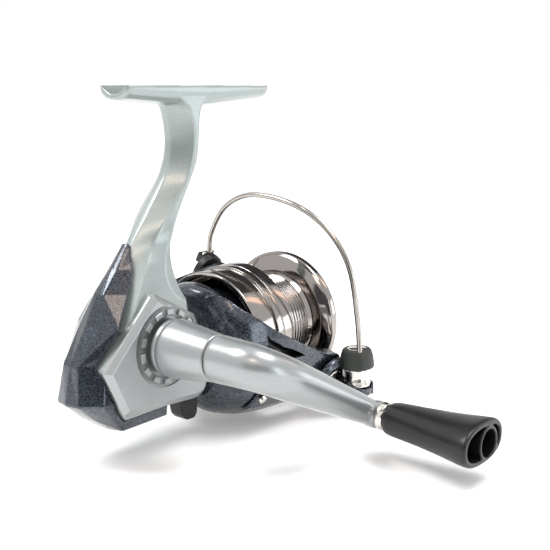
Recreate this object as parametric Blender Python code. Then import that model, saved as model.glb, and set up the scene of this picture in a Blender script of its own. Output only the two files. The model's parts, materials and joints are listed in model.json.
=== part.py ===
"""A spinning reel as separate, named pieces, in metres.

Frame: +Z up, +Y forward along the spool's axis, +X towards the handle. The origin is the
centre of the flat strip along the top of the foot, where the reel sits on the rod.
Lengths below are in millimetres; every mesh is scaled to metres when it is made.
"""
import math

import bmesh
import bpy
from mathutils import Matrix, Vector

MM = 0.001
GAP = 0.3                 # clearance between pieces that touch

# Driving dimensions
FOOT_LENGTH = 66.0
FOOT_WIDTH = 13.6
FOOT_TROUGH = 2.4         # the foot's edges stand this much above its flat floor, halfway along
SPOOL_Z = -85.6           # height of the spool, rotor and main shaft axis
LIP_RADIUS = 25.0
HANDLE_Y, HANDLE_Z = -26.7, -78.6     # the handle's axis, parallel to X
SIDE_X = 12.0             # half width of the gear housing
PLATE_X = 14.0            # outer face of the side plate
DIAL_RADIUS = 13.3
KNOB_Y, KNOB_Z = 18.5, -103.0         # the knob's axis, parallel to X
KNOB_X0, KNOB_X1 = 68.5, 104.0
ROTOR_TURN = -28.0        # degrees: where the handle-side rotor arm stands
PIVOT_Y = 38.4            # bail pivots, along the spool's axis
ARM_RADIUS = 32.5         # outer face of the rotor arms at the bail pivots
SHAFT_R = 3.2             # drive shaft
MAIN_SHAFT_R = 1.75
PINION_SLEEVE_R = 3.3
TURN_FIT = 0.12           # radial clearance of a shaft in its bore

# Gear train
GEAR_MODULE = 0.8
SPUR_TEETH, OSC_TEETH = 12, 20
FACE_TEETH, PINION_TEETH = 45, 9
SPUR_PITCH_R = GEAR_MODULE * SPUR_TEETH / 2
OSC_PITCH_R = GEAR_MODULE * OSC_TEETH / 2
OSC_DIRECTION = math.radians(225.0)   # from the drive shaft, in the Y-Z plane
OSC_Y = HANDLE_Y + (SPUR_PITCH_R + OSC_PITCH_R) * math.cos(OSC_DIRECTION)
OSC_Z = HANDLE_Z + (SPUR_PITCH_R + OSC_PITCH_R) * math.sin(OSC_DIRECTION)
CRANK_PIN_R = 6.2         # half the spool's travel

PEARL = (0.66, 0.69, 0.69)
SATIN_SILVER = (0.60, 0.62, 0.63)
DARK_FLAKE = (0.045, 0.055, 0.075)
GUNMETAL = (0.23, 0.20, 0.18)
NICKEL = (0.72, 0.69, 0.64)
STEEL = (0.55, 0.55, 0.56)
BRASS = (0.62, 0.46, 0.20)
ZINC = (0.50, 0.50, 0.48)
BLACK = (0.012, 0.012, 0.014)
RUBBER_GREY = (0.045, 0.052, 0.047)
FELT = (0.30, 0.28, 0.24)

AIM = {                   # turns a shape made along +Z so that it lies along another axis
    "Z": Matrix.Identity(4),
    "Y": Matrix.Rotation(math.radians(-90), 4, "X"),
    "X": Matrix.Rotation(math.radians(90), 4, "Y"),
}


# ---------------------------------------------------------------- shapes

def clear_scene():
    for thing in list(bpy.data.objects):
        bpy.data.objects.remove(thing, do_unlink=True)


def material(name, color, metallic, roughness):
    """One Principled material per finish, shared by the pieces that have it."""
    found = bpy.data.materials.get(name)
    if found:
        return found
    made = bpy.data.materials.new(name)
    made.use_nodes = True
    shader = made.node_tree.nodes["Principled BSDF"]
    shader.inputs["Base Color"].default_value = (*color, 1)
    shader.inputs["Metallic"].default_value = metallic
    shader.inputs["Roughness"].default_value = roughness
    made.diffuse_color = (*color, 1)
    return made


def empty(name, location, parent=None, rotation=(0, 0, 0)):
    thing = bpy.data.objects.new(name, None)
    bpy.context.scene.collection.objects.link(thing)
    thing.location = Vector(location) * MM
    thing.rotation_euler = [math.radians(a) for a in rotation]
    thing.parent = parent
    return thing


def piece(name, shape, finish, parent=None, location=(0, 0, 0), sharp=35.0):
    """Turn a bmesh in millimetres into a named object in metres."""
    bmesh.ops.remove_doubles(shape, verts=shape.verts, dist=1e-5)
    bmesh.ops.recalc_face_normals(shape, faces=shape.faces)
    shape.transform(Matrix.Scale(MM, 4))
    mesh = bpy.data.meshes.new(name)
    shape.to_mesh(mesh)
    shape.free()
    mesh.shade_smooth()
    mesh.set_sharp_from_angle(angle=math.radians(sharp))
    thing = bpy.data.objects.new(name, mesh)
    bpy.context.scene.collection.objects.link(thing)
    thing.location = Vector(location) * MM
    thing.parent = parent
    if finish:
        mesh.materials.append(material(*finish))
    return thing


def loft(rings, closed=False):
    """Skin a list of rings with equal counts; the ends are capped unless closed."""
    shape = bmesh.new()
    made = [[shape.verts.new(p) for p in ring] for ring in rings]
    count = len(made[0])
    last = len(made) if closed else len(made) - 1
    for i in range(last):
        low, high = made[i], made[(i + 1) % len(made)]
        for j in range(count):
            k = (j + 1) % count
            shape.faces.new((low[j], low[k], high[k], high[j]))
    if not closed:
        shape.faces.new(list(reversed(made[0])))
        shape.faces.new(made[-1])
    return shape


def turned(profile, axis, segments=48, at=(0, 0, 0)):
    """Spin (radius, height) points about an axis. A profile whose ends lie on the axis is
    a solid; any other profile is a closed loop, which makes a ring."""
    shape = bmesh.new()
    solid = profile[0][0] == 0 and profile[-1][0] == 0
    rings = []
    for radius, height in profile:
        if radius == 0:
            rings.append([shape.verts.new((0, 0, height))])
            continue
        rings.append([shape.verts.new((radius * math.cos(2 * math.pi * i / segments),
                                       radius * math.sin(2 * math.pi * i / segments),
                                       height)) for i in range(segments)])
    last = len(rings) - 1 if solid else len(rings)
    for i in range(last):
        low, high = rings[i], rings[(i + 1) % len(rings)]
        for j in range(segments):
            k = (j + 1) % segments
            corners = [low[j % len(low)], low[k % len(low)], high[k % len(high)], high[j % len(high)]]
            corners = list(dict.fromkeys(corners))
            if len(corners) > 2:
                shape.faces.new(corners)
    shape.transform(Matrix.Translation(at) @ AIM[axis])
    return shape


def rod(radius, low, high, axis, at=(0, 0, 0), segments=24):
    return turned([(0, low), (radius, low), (radius, high), (0, high)], axis, segments, at)


def prism(outline, low, high, axis):
    """Extrude an outline. Along X it is read as (y, z), along Y as (x, z), along Z as (x, y)."""
    place = {"X": lambda a, b, h: (h, a, b), "Y": lambda a, b, h: (a, h, b), "Z": lambda a, b, h: (a, b, h)}
    return loft([[place[axis](a, b, h) for a, b in outline] for h in (low, high)])


def block(low, high):
    return prism([(low[0], low[1]), (high[0], low[1]), (high[0], high[1]), (low[0], high[1])],
                 low[2], high[2], "Z")


def hull(points):
    shape = bmesh.new()
    for p in points:
        shape.verts.new(p)
    made = bmesh.ops.convex_hull(shape, input=shape.verts)
    loose = [v for v in made["geom_interior"] if isinstance(v, bmesh.types.BMVert)]
    bmesh.ops.delete(shape, geom=loose, context="VERTS")
    return shape


def disc_points(centre, normal, radius, count=16):
    """Points of a circle in space."""
    across = Vector(normal).orthogonal().normalized()
    along = Vector(normal).normalized().cross(across)
    return [Vector(centre) + radius * (across * math.cos(2 * math.pi * i / count)
                                       + along * math.sin(2 * math.pi * i / count)) for i in range(count)]


def arc(centre, radius, start, end, count):
    """Points of an arc in a plane, angles in degrees."""
    step = (end - start) / (count - 1)
    return [(centre[0] + radius * math.cos(math.radians(start + i * step)),
             centre[1] + radius * math.sin(math.radians(start + i * step))) for i in range(count)]


def inset(outline, distance):
    """Move each edge of a convex outline inwards."""
    middle = Vector((sum(p[0] for p in outline), sum(p[1] for p in outline))) / len(outline)
    lines = []
    for i, p in enumerate(outline):
        q = outline[(i + 1) % len(outline)]
        along = (Vector(q) - Vector(p)).normalized()
        normal = Vector((-along.y, along.x))
        if normal.dot(middle - Vector(p)) < 0:
            normal = -normal
        lines.append((Vector(p) + normal * distance, along))
    result = []
    for i in range(len(lines)):
        (p, a), (q, b) = lines[i - 1], lines[i]
        t = ((q - p).x * b.y - (q - p).y * b.x) / (a.x * b.y - a.y * b.x)
        result.append(tuple(p + a * t))
    return result


def smooth_path(points, per_span):
    """Catmull-Rom curve through the given points."""
    ends = [2 * Vector(points[0]) - Vector(points[1])] + [Vector(p) for p in points]
    ends.append(2 * Vector(points[-1]) - Vector(points[-2]))
    path = []
    for i in range(1, len(ends) - 2):
        p0, p1, p2, p3 = ends[i - 1:i + 3]
        for s in range(per_span):
            t = s / per_span
            path.append(0.5 * (2 * p1 + (p2 - p0) * t + (2 * p0 - 5 * p1 + 4 * p2 - p3) * t * t
                               + (3 * p1 - p0 - 3 * p2 + p3) * t ** 3))
    path.append(Vector(points[-1]))
    return path


def swept(path, sizes, sides, up=(0, 0, 1)):
    """Sweep an ellipse along a path; sizes gives (half width, half height) at each point."""
    rings = []
    side = None
    for i, point in enumerate(path):
        ahead = (path[min(i + 1, len(path) - 1)] - path[max(i - 1, 0)]).normalized()
        if side is None:
            side = ahead.cross(Vector(up)).normalized()
        side = (side - ahead * side.dot(ahead)).normalized()
        top = side.cross(ahead)
        wide, high = sizes[i]
        rings.append([point + side * wide * math.cos(2 * math.pi * k / sides)
                      + top * high * math.sin(2 * math.pi * k / sides) for k in range(sides)])
    return loft(rings)


def gear(teeth, root, tip, bore, low, high, axis, at, phase=0.0):
    """A spur gear: trapezoid teeth round a disc, with a bore."""
    step = 2 * math.pi / teeth
    outer = []
    for i in range(teeth):
        middle = i * step + phase
        for radius, offset in ((root, -0.34), (tip, -0.14), (tip, 0.14), (root, 0.34)):
            outer.append((radius, middle + offset * step))
    rings = []
    for radius_of, height in ((0, low), (1, low), (1, high), (0, high)):
        rings.append([((r if radius_of else bore) * math.cos(a), (r if radius_of else bore) * math.sin(a),
                       height) for r, a in outer])
    shape = loft(rings, closed=True)
    shape.transform(Matrix.Translation(at) @ AIM[axis])
    return shape


def apply_boolean(target, tool, operation):
    step = target.modifiers.new("cut", "BOOLEAN")
    step.operation = operation
    step.solver = "EXACT"
    step.object = tool
    bpy.context.view_layer.update()
    graph = bpy.context.evaluated_depsgraph_get()
    mesh = bpy.data.meshes.new_from_object(target.evaluated_get(graph))
    target.modifiers.clear()
    old = target.data
    target.data = mesh
    bpy.data.meshes.remove(old)
    bpy.data.objects.remove(tool, do_unlink=True)


def cut(target, *shapes):
    for shape in shapes:
        apply_boolean(target, piece("cutter", shape, None, target.parent, target.location / MM), "DIFFERENCE")


def join(target, *shapes):
    for shape in shapes:
        apply_boolean(target, piece("addition", shape, None, target.parent, target.location / MM), "UNION")


# ---------------------------------------------------------------- finishes

PEARL_PAINT = ("pearl_paint", PEARL, 0.6, 0.35)
SILVER_PAINT = ("silver_paint", SATIN_SILVER, 0.7, 0.35)
FLAKE_PAINT = ("flake_paint", DARK_FLAKE, 0.6, 0.35)
SPOOL_METAL = ("spool_metal", GUNMETAL, 1.0, 0.18)
BRIGHT_NICKEL = ("bright_nickel", NICKEL, 1.0, 0.15)
PLAIN_STEEL = ("plain_steel", STEEL, 1.0, 0.3)
GEAR_BRASS = ("gear_brass", BRASS, 1.0, 0.3)
GEAR_ZINC = ("gear_zinc", ZINC, 1.0, 0.4)
BLACK_PLASTIC = ("black_plastic", BLACK, 0.0, 0.4)
KNOB_BLACK = ("knob_black", BLACK, 0.0, 0.38)
CAP_RUBBER = ("cap_rubber", RUBBER_GREY, 0.0, 0.6)
DRAG_FELT = ("drag_felt", FELT, 0.0, 0.9)


# ---------------------------------------------------------------- body

def foot_section(y):
    """Cross-section of the foot: a trough above, thin at the tips and thick at the stem."""
    half = FOOT_WIDTH / 2
    reach = y / (FOOT_LENGTH / 2)
    edge = FOOT_TROUGH - 0.6 * reach
    low = -3.6 + (2.8 if y < 0 else 2.0) * abs(reach)
    if abs(reach) > 0.93:
        half -= 1.2
        low += 0.5
    side = low + (edge - low) * 0.55
    floor = 1.8
    return [(-half, y, edge), (-half * 0.62, y, edge * 0.32), (-floor, y, 0), (floor, y, 0),
            (half * 0.62, y, edge * 0.32), (half, y, edge), (half, y, side), (half * 0.7, y, low - 0.4),
            (floor, y, low - 1.1), (-floor, y, low - 1.1), (-half * 0.7, y, low - 0.4), (-half, y, side)]


def stem_section(z, ridge, corner, rear_half, front, half):
    """Cross-section of the stem: a blunt ridge behind, a flat face in front."""
    blunt = 1.3
    edge = 1.0
    return [(-blunt, ridge, z), (blunt, ridge, z), (rear_half, corner, z), (half, front - edge, z),
            (half - edge, front, z), (edge - half, front, z), (-half, front - edge, z), (-rear_half, corner, z)]


def housing_outline():
    """Side outline of the gear housing, as (y, z)."""
    return [(-30.6, -62.0), (-14.2, -71.2), (-10.5, -75.0), (-8.4, -79.0), (-8.0, -83.0), (-8.0, -95.0),
            (-9.4, -98.2), (-12.5, -99.5), (-43.0, -99.5), (-45.0, -96.6), (-48.2, -89.0), (-50.2, -82.4)]


def gear_room():
    """Side outline of the hollow for the gears, as (y, z)."""
    return [(-30.4, -64.2), (-16.0, -72.2), (-12.4, -76.0), (-11.8, -79.5), (-11.8, -94.5), (-14.0, -97.2),
            (-42.3, -97.2), (-43.6, -95.4), (-46.6, -88.6), (-48.0, -82.6)]


def body_casting():
    stations = [(-0.9, -15.5, -11.5, 5.4, 3.4, 5.4), (-3.2, -13.0, -8.2, 6.3, 0.8, 6.3),
                (-6.5, -11.8, -6.0, 6.8, -1.0, 6.8), (-11.0, -10.9, -5.0, 7.0, -1.9, 7.0),
                (-17.0, -10.6, -5.2, 7.0, -2.5, 7.0), (-22.5, -11.8, -6.6, 7.0, -3.7, 7.0),
                (-28.0, -14.6, -9.3, 7.0, -6.6, 7.0), (-35.5, -20.3, -15.6, 7.2, -11.2, 7.2),
                (-41.8, -25.2, -20.8, 6.7, -14.8, 7.6), (-47.5, -29.4, -24.4, 5.8, -17.5, 8.6),
                (-54.0, -33.4, -29.2, 7.9, -18.5, 10.5), (-60.0, -37.0, -33.2, 9.2, -17.2, 11.4),
                (-66.0, -40.0, -37.0, 10.0, -14.5, 11.6), (-72.0, -43.2, -40.4, 9.6, -13.4, 11.4)]
    body = piece("body_casting", loft([stem_section(*s) for s in stations]), PEARL_PAINT)
    ys = [-33, -31, -24, -16, -8, 0, 8, 16, 24, 31, 33]
    outline = housing_outline()
    narrow = inset(outline, 3.0)
    housing = loft([[(x, y, z) for y, z in ring] for x, ring in
                    ((-SIDE_X, narrow), (2.8 - SIDE_X, outline), (SIDE_X - 0.4, outline))])
    neck = turned([(0, -9.0), (10.6, -9.0), (10.6, -6.8), (10.0, -6.2), (0, -6.2)], "Y", 48, (0, 0, SPOOL_Z))
    join(body, loft([foot_section(y) for y in ys]), housing, neck)
    drive_axis = (0, HANDLE_Y, HANDLE_Z)
    cut(body, prism(gear_room(), -8.3, SIDE_X + 3, "X"), rod(11.4, 1.0, SIDE_X + 3, "X", drive_axis, 48),
        rod(7.62, -11.6, -8.0, "X", drive_axis, 36), rod(4.3, -14, -8, "X", drive_axis),
        rod(6.2, -13, -5, "Y", (0, 0, SPOOL_Z), 36),
        block((-5.5, -15.4, -101), (5.5, -12.2, -93)))
    for y, z in SCREW_PLACES:
        cut(body, rod(1.45, -14, -7, "X", (0, y, z), 16))
    return body


SCREW_PLACES = ((-29.5, -68.8), (-42.3, -87.5), (-14.0, -94.0))


def side_plate():
    outline = ([(-30.7, -61.0), (-52.1, -82.1), (-44.8, -97.5), (-14.0, -99.7)]
               + arc((-12.5, -94.6), 5.0, -80, 0, 5) + [(-7.6, -82.0), (-12.9, -71.0)])
    raised = inset(outline, 2.0)
    rings = [[(x, y, z) for y, z in ring] for x, ring in
             ((SIDE_X, outline), (SIDE_X + 0.5, outline), (PLATE_X, raised))]
    plate = piece("side_plate", loft(rings), SILVER_PAINT)
    join(plate, turned([(7.7, 8.7), (9.2, 8.7), (9.2, 12.6), (7.7, 12.6)], "X", 48, (0, HANDLE_Y, HANDLE_Z)))
    groove = turned([(DIAL_RADIUS - 0.5, 13.4), (DIAL_RADIUS, 13.4), (DIAL_RADIUS, 16), (DIAL_RADIUS - 0.5, 16)],
                    "X", 64, (0, HANDLE_Y, HANDLE_Z))
    cut(plate, rod(7.7, 8, 12, "X", (0, HANDLE_Y, HANDLE_Z), 48), rod(6.4, 8, 16, "X", (0, HANDLE_Y, HANDLE_Z), 48),
        groove)
    return plate


def dial_ring():
    """A flat ring round the handle's neck with raised pads."""
    pads = 14
    ring = turned([(9.9, PLATE_X + 0.2), (12.5, PLATE_X + 0.2), (12.5, PLATE_X + 0.6), (9.9, PLATE_X + 0.6)],
                  "X", 42, (0, HANDLE_Y, HANDLE_Z))
    dial = piece("dial_ring", ring, SILVER_PAINT)
    for i in range(pads):
        middle = 360 * i / pads + 8
        corners = (arc((HANDLE_Y, HANDLE_Z), 10.3, middle - 8.0, middle + 8.0, 3)
                   + arc((HANDLE_Y, HANDLE_Z), 12.1, middle + 7.5, middle - 7.5, 3))
        join(dial, prism(corners, PLATE_X + 0.4, PLATE_X + 1.0, "X"))
    return dial


COVER_STATIONS = (        # z, centre y, crease x and y, edge x and y
    (-46.6, -30.9, 1.2, -30.6, 2.4, -29.0), (-54.0, -36.6, 1.8, -36.0, 6.0, -32.2),
    (-61.0, -42.6, 2.2, -42.2, 7.8, -37.0), (-70.0, -47.8, 4.7, -46.2, 9.7, -42.9),
    (-81.0, -54.7, 3.4, -54.4, 9.4, -48.6), (-93.2, -57.2, 5.0, -56.2, 11.2, -51.4),
    (-99.0, -50.6, 5.0, -50.0, 10.6, -46.6), (-103.6, -44.4, 4.6, -44.2, 9.4, -42.6))
COVER_FRONT = (           # side outline of all that lies in front of the cover, as (y, z)
    (-10.0, -44.0), (-28.7, -44.0), (-32.5, -54.0), (-36.6, -61.0), (-42.3, -70.0), (-50.6, -81.5), (-50.5, -82.6),
    (-48.6, -89.2), (-45.3, -97.0), (-43.3, -99.9), (-24.0, -99.9), (-23.0, -106.0), (-10.0, -106.0))


def cover_solid(stations, wall):
    """The cover's outside, or with a wall thickness its inside, run forward past the housing."""
    rings = []
    for z, back, crease_x, crease_y, edge_x, edge_y in stations:
        half, front = edge_x - wall, -18.0 + wall
        rings.append([(-half, edge_y + wall, z), (-crease_x, crease_y + wall, z), (0, back + wall, z),
                      (crease_x, crease_y + wall, z), (half, edge_y + wall, z), (half, front, z), (-half, front, z)])
    return loft(rings)


def rear_cover():
    """A faceted shell behind and below the gear housing."""
    wall = 1.5
    top, bottom = COVER_STATIONS[0], COVER_STATIONS[-1]
    above = [2 * a - b for a, b in zip(top, COVER_STATIONS[1])]
    above[2], above[4] = top[2], top[4]
    inside = [above, *COVER_STATIONS[:-1], (bottom[0] + wall, *bottom[1:])]
    cover = piece("rear_cover", cover_solid(COVER_STATIONS, 0), FLAKE_PAINT)
    cut(cover, prism(COVER_FRONT, -15, 15, "X"), cover_solid(inside, wall))
    return cover


def anti_reverse_lever():
    pivot_z = -94.3
    hub = rod(1.9, -15.0, -12.6, "Y", (0, 0, pivot_z))
    lever = piece("anti_reverse_lever", hub, BLACK_PLASTIC, empty("anti_reverse_axis", (0, 0, 0)))
    tab = [(-13.6, -101.0), (-14.0, -104.0), (-13.2, -107.6), (-11.4, -109.6), (-7.6, -109.8), (-6.2, -108.0),
           (-6.0, -103.6), (-7.0, -101.0)]
    join(lever, block((-1.2, -15.0, -102.5), (2.8, -12.6, pivot_z)), prism(tab, 0.4, 6.4, "X"))
    return lever


# ---------------------------------------------------------------- gear train

def drive_train(handle):
    axis = (0, HANDLE_Y, HANDLE_Z)
    piece("drive_shaft", rod(SHAFT_R, -12.1, 14.4, "X"), PLAIN_STEEL, handle)
    disc = [(SHAFT_R + TURN_FIT, 3.0), (5.4, 3.0), (5.4, 5.2), (11.0, 5.2), (11.0, 7.6), (SHAFT_R + TURN_FIT, 7.6)]
    face_gear = piece("drive_gear", turned(disc, "X", 45), GEAR_ZINC, handle)
    for i in range(FACE_TEETH):
        turn = Matrix.Rotation(2 * math.pi * (i + 0.5) / FACE_TEETH, 4, "X")
        tooth = block((4.0, -0.35, 8.9), (5.4, 0.35, 10.8))
        tooth.transform(turn)
        join(face_gear, tooth)
    spur = gear(SPUR_TEETH, SPUR_PITCH_R - 0.95, SPUR_PITCH_R + 0.7, SHAFT_R + TURN_FIT, -7.2, -4.4, "X", (0, 0, 0),
                OSC_DIRECTION - math.pi / 2)
    piece("oscillation_drive_gear", spur, GEAR_BRASS, handle)
    for name, low in (("drive_bearing_left", -11.5), ("drive_bearing_right", 8.8)):
        ring = turned([(SHAFT_R + TURN_FIT, low), (7.5, low), (7.5, low + 2.8), (SHAFT_R + TURN_FIT, low + 2.8)],
                      "X", 36, axis)
        piece(name, ring, PLAIN_STEEL)
    osc = empty("oscillation_axis", (0, OSC_Y, OSC_Z))
    half_tooth = math.pi / OSC_TEETH
    wheel = gear(OSC_TEETH, OSC_PITCH_R - 0.95, OSC_PITCH_R + 0.7, 1.7, -7.2, -4.4, "X", (0, 0, 0),
                 OSC_DIRECTION + math.pi / 2 + half_tooth)
    osc_gear = piece("oscillation_gear", wheel, GEAR_ZINC, osc)
    join(osc_gear, rod(1.2, -5.0, -2.9, "X", (0, -CRANK_PIN_R, 0), 16))
    piece("oscillation_pin", turned([(0, -8.1), (2.4, -8.1), (2.4, -7.5), (1.55, -7.5), (1.55, -4.0), (0, -4.0)],
                                    "X", 20, (0, OSC_Y, OSC_Z)), PLAIN_STEEL)


def main_shaft(slide):
    piece("main_shaft", rod(MAIN_SHAFT_R, -44.8, 55.5, "Y"), PLAIN_STEEL, slide)
    middle = OSC_Y - CRANK_PIN_R
    slider = piece("oscillation_slider", block((-2.2, middle - 2.6, -7.2), (2.6, middle + 2.6, 3.0)), GEAR_ZINC, slide)
    cut(slider, rod(MAIN_SHAFT_R + TURN_FIT, -60, 0, "Y"), rod(1.2, -60, 0, "Y", (0.5, 0, -5.2)),
        block((-3.0, middle - 1.5, -6.6), (-1.0, middle + 1.5, -2.4)))
    click = gear(20, 6.4, 7.4, MAIN_SHAFT_R + TURN_FIT, 17.0, 19.2, "Y", (0, 0, 0))
    piece("click_gear", click, BLACK_PLASTIC, slide)
    piece("slider_guide_rod", rod(1.0, -45.2, -12.6, "Y", (0.5, 0, SPOOL_Z - 5.2), 20), PLAIN_STEEL)


def pinion_and_bearing(rotor_axis):
    bore = MAIN_SHAFT_R + 0.25
    teeth = gear(PINION_TEETH, 2.75, 3.6, bore, -23.5, -12.6, "Y", (0, 0, 0))
    pinion = piece("pinion", teeth, GEAR_BRASS, rotor_axis)
    join(pinion, turned([(bore, -13.0), (PINION_SLEEVE_R, -13.0), (PINION_SLEEVE_R, 3.4), (bore, 3.4)], "Y", 24))
    sleeve = PINION_SLEEVE_R + TURN_FIT
    for name, low, high, finish in (("pinion_bearing", -12.2, -9.4, PLAIN_STEEL),
                                    ("anti_reverse_clutch", -9.1, -6.3, GEAR_BRASS)):
        piece(name, turned([(sleeve, low), (6.08, low), (6.08, high), (sleeve, high)], "Y", 24, (0, 0, SPOOL_Z)),
              finish)
    nut = piece("rotor_nut", rod(5.6, 1.3, 3.6, "Y", (0, 0, 0), 6), PLAIN_STEEL, rotor_axis)
    cut(nut, rod(sleeve, 0, 5, "Y"))


# ---------------------------------------------------------------- rotor and bail

ARM_SHAPE = (             # y, outer radius, inner radius, degrees below and above the middle
    (-4.6, 17.4, 14.0, 62, 92), (-2.2, 22.4, 17.2, 60, 88), (1.0, 25.2, 19.4, 53, 66), (5.6, 27.4, 24.6, 45, 52),
    (9.0, 28.6, 26.0, 41, 44), (13.0, 29.5, 26.1, 36.5, 38), (18.0, 30.4, 26.2, 31.5, 32), (24.0, 31.2, 26.4, 25.5, 25.5),
    (30.0, 31.9, 26.6, 20, 20), (35.0, 32.4, 26.8, 16.2, 16.2), (38.4, ARM_RADIUS, 27.0, 14.6, 14.6),
    (41.2, ARM_RADIUS, 27.0, 13.6, 13.6), (43.6, 32.1, 27.0, 10.8, 10.8), (45.4, 31.6, 27.0, 7.0, 7.0),
    (46.3, 31.1, 27.0, 3.4, 3.4))
FAR_ARM_TOP = (           # degrees above the middle at the same stations, on the far arm
    40, 36, 26, 16, 10, 7, 6, 6, 6, 7, 8, 8, 7, 5, 3)


ARM_RECESS = (            # outline of the recess below the handle-side arm's upper rail, as (degrees, y)
    (39.0, 7.4), (31.0, 7.2), (25.5, 9.4), (19.8, 15.5), (19.4, 23.0), (23.8, 19.0), (29.0, 12.8), (35.0, 8.6))


def rotor_arm(turn):
    """One arm as a curved plate that sweeps forward from the rotor's back."""
    columns = 9
    rings = []
    for (y, outer, inner, below, above), far_top in zip(ARM_SHAPE, FAR_ARM_TOP):
        start, end = (-below, above) if turn == 0 else (-far_top, below)
        ring = []
        for i in range(columns + 1):
            angle = math.radians(turn + start + (end - start) * i / columns)
            ring.append((outer * math.cos(angle), y, outer * math.sin(angle)))
        for i in range(columns + 1):
            angle = math.radians(turn + end - (end - start) * i / columns)
            ring.append((inner * math.cos(angle), y, inner * math.sin(angle)))
        rings.append(ring)
    return loft(rings)


def rotor(rotor_axis):
    core = [(PINION_SLEEVE_R + TURN_FIT, -5.2), (15.5, -5.2), (19.6, -3.4), (21.2, -0.8), (21.2, 1.6), (20.2, 2.2),
            (17.4, 3.0), (17.4, 17.0), (15.6, 17.0), (15.6, -1.6), (7.0, -1.6), (7.0, 1.0), (PINION_SLEEVE_R + TURN_FIT, 1.0)]
    body = piece("rotor", turned(core, "Y", 48), FLAKE_PAINT, rotor_axis)
    join(body, rotor_arm(0), rotor_arm(180))
    window = [(11.0, 3.6), (11.0, 9.0), (18.0, 9.6), (30.0, 5.6), (31.5, 3.6)]
    far_window = loft([[(x, y, z) for y, z in window] for x in (28.3, 40)])
    far_window.transform(Matrix.Rotation(math.pi, 4, "Y"))
    recess = loft([[(radius * math.cos(math.radians(a)), y, radius * math.sin(math.radians(a)))
                    for a, y in ARM_RECESS] for radius in (27.3, 36)])
    cut(body, rod(2.12, 24, 36, "X", (0, PIVOT_Y, 0)), rod(2.12, -36, -24, "X", (0, PIVOT_Y, 0)), far_window, recess)
    cut(body, block((26.9, 11.5, -4.7), (40, 32.5, -1.5)))
    return body


def arm_cover(name, rotor_axis, turn):
    """A thin curved cover on a rotor arm, below its window."""
    rings = []
    for (y, outer, _, half, _), far_top in zip(ARM_SHAPE[3:9], FAR_ARM_TOP[3:9]):
        low, high = (-0.66 * half, min(4.6, 0.2 * half)) if turn == 0 else (-far_top + 2, 0.5 * half)
        angles = [math.radians(turn + low + (high - low) * i / 6) for i in range(7)]
        ring = [((outer + 0.35) * math.cos(a), y, (outer + 0.35) * math.sin(a)) for a in angles]
        ring += [((outer + 1.5) * math.cos(a), y, (outer + 1.5) * math.sin(a)) for a in reversed(angles)]
        rings.append(ring)
    return piece(name, loft(rings), FLAKE_PAINT, rotor_axis)


ROLLER_SEAT = Vector((41.9, 7.6, -0.4))       # in the bail's frame: radial, forward, sideways
ROLLER_AXIS = Vector((-0.5, 0, 0.866)).normalized()
WIRE_R = 1.0
WIRE_ROUTE = ((-36.5, 0.2, 4.4), (-36.9, 0.3, 7.0), (-39.3, 0.7, 14.0), (-38.2, 1.1, 26.0), (-31.0, 1.6, 36.2),
              (-18.0, 2.2, 42.8), (-4.0, 2.8, 45.6), (9.0, 3.4, 43.8), (20.6, 4.0, 37.0), (31.3, 4.5, 23.4),
              (38.4, 4.9, 12.0), (40.2, 5.0, 8.8))


def on_roller(distance):
    return ROLLER_SEAT + ROLLER_AXIS * distance


def roller_part(name, profile, finish, parent, segments=36):
    """A piece turned about the line roller's axis; heights count from the lever's seat."""
    shape = turned(profile, "Z", segments)
    shape.transform(Vector((0, 0, 1)).rotation_difference(ROLLER_AXIS).to_matrix().to_4x4())
    shape.transform(Matrix.Translation(ROLLER_SEAT))
    return piece(name, shape, finish, parent)


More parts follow.
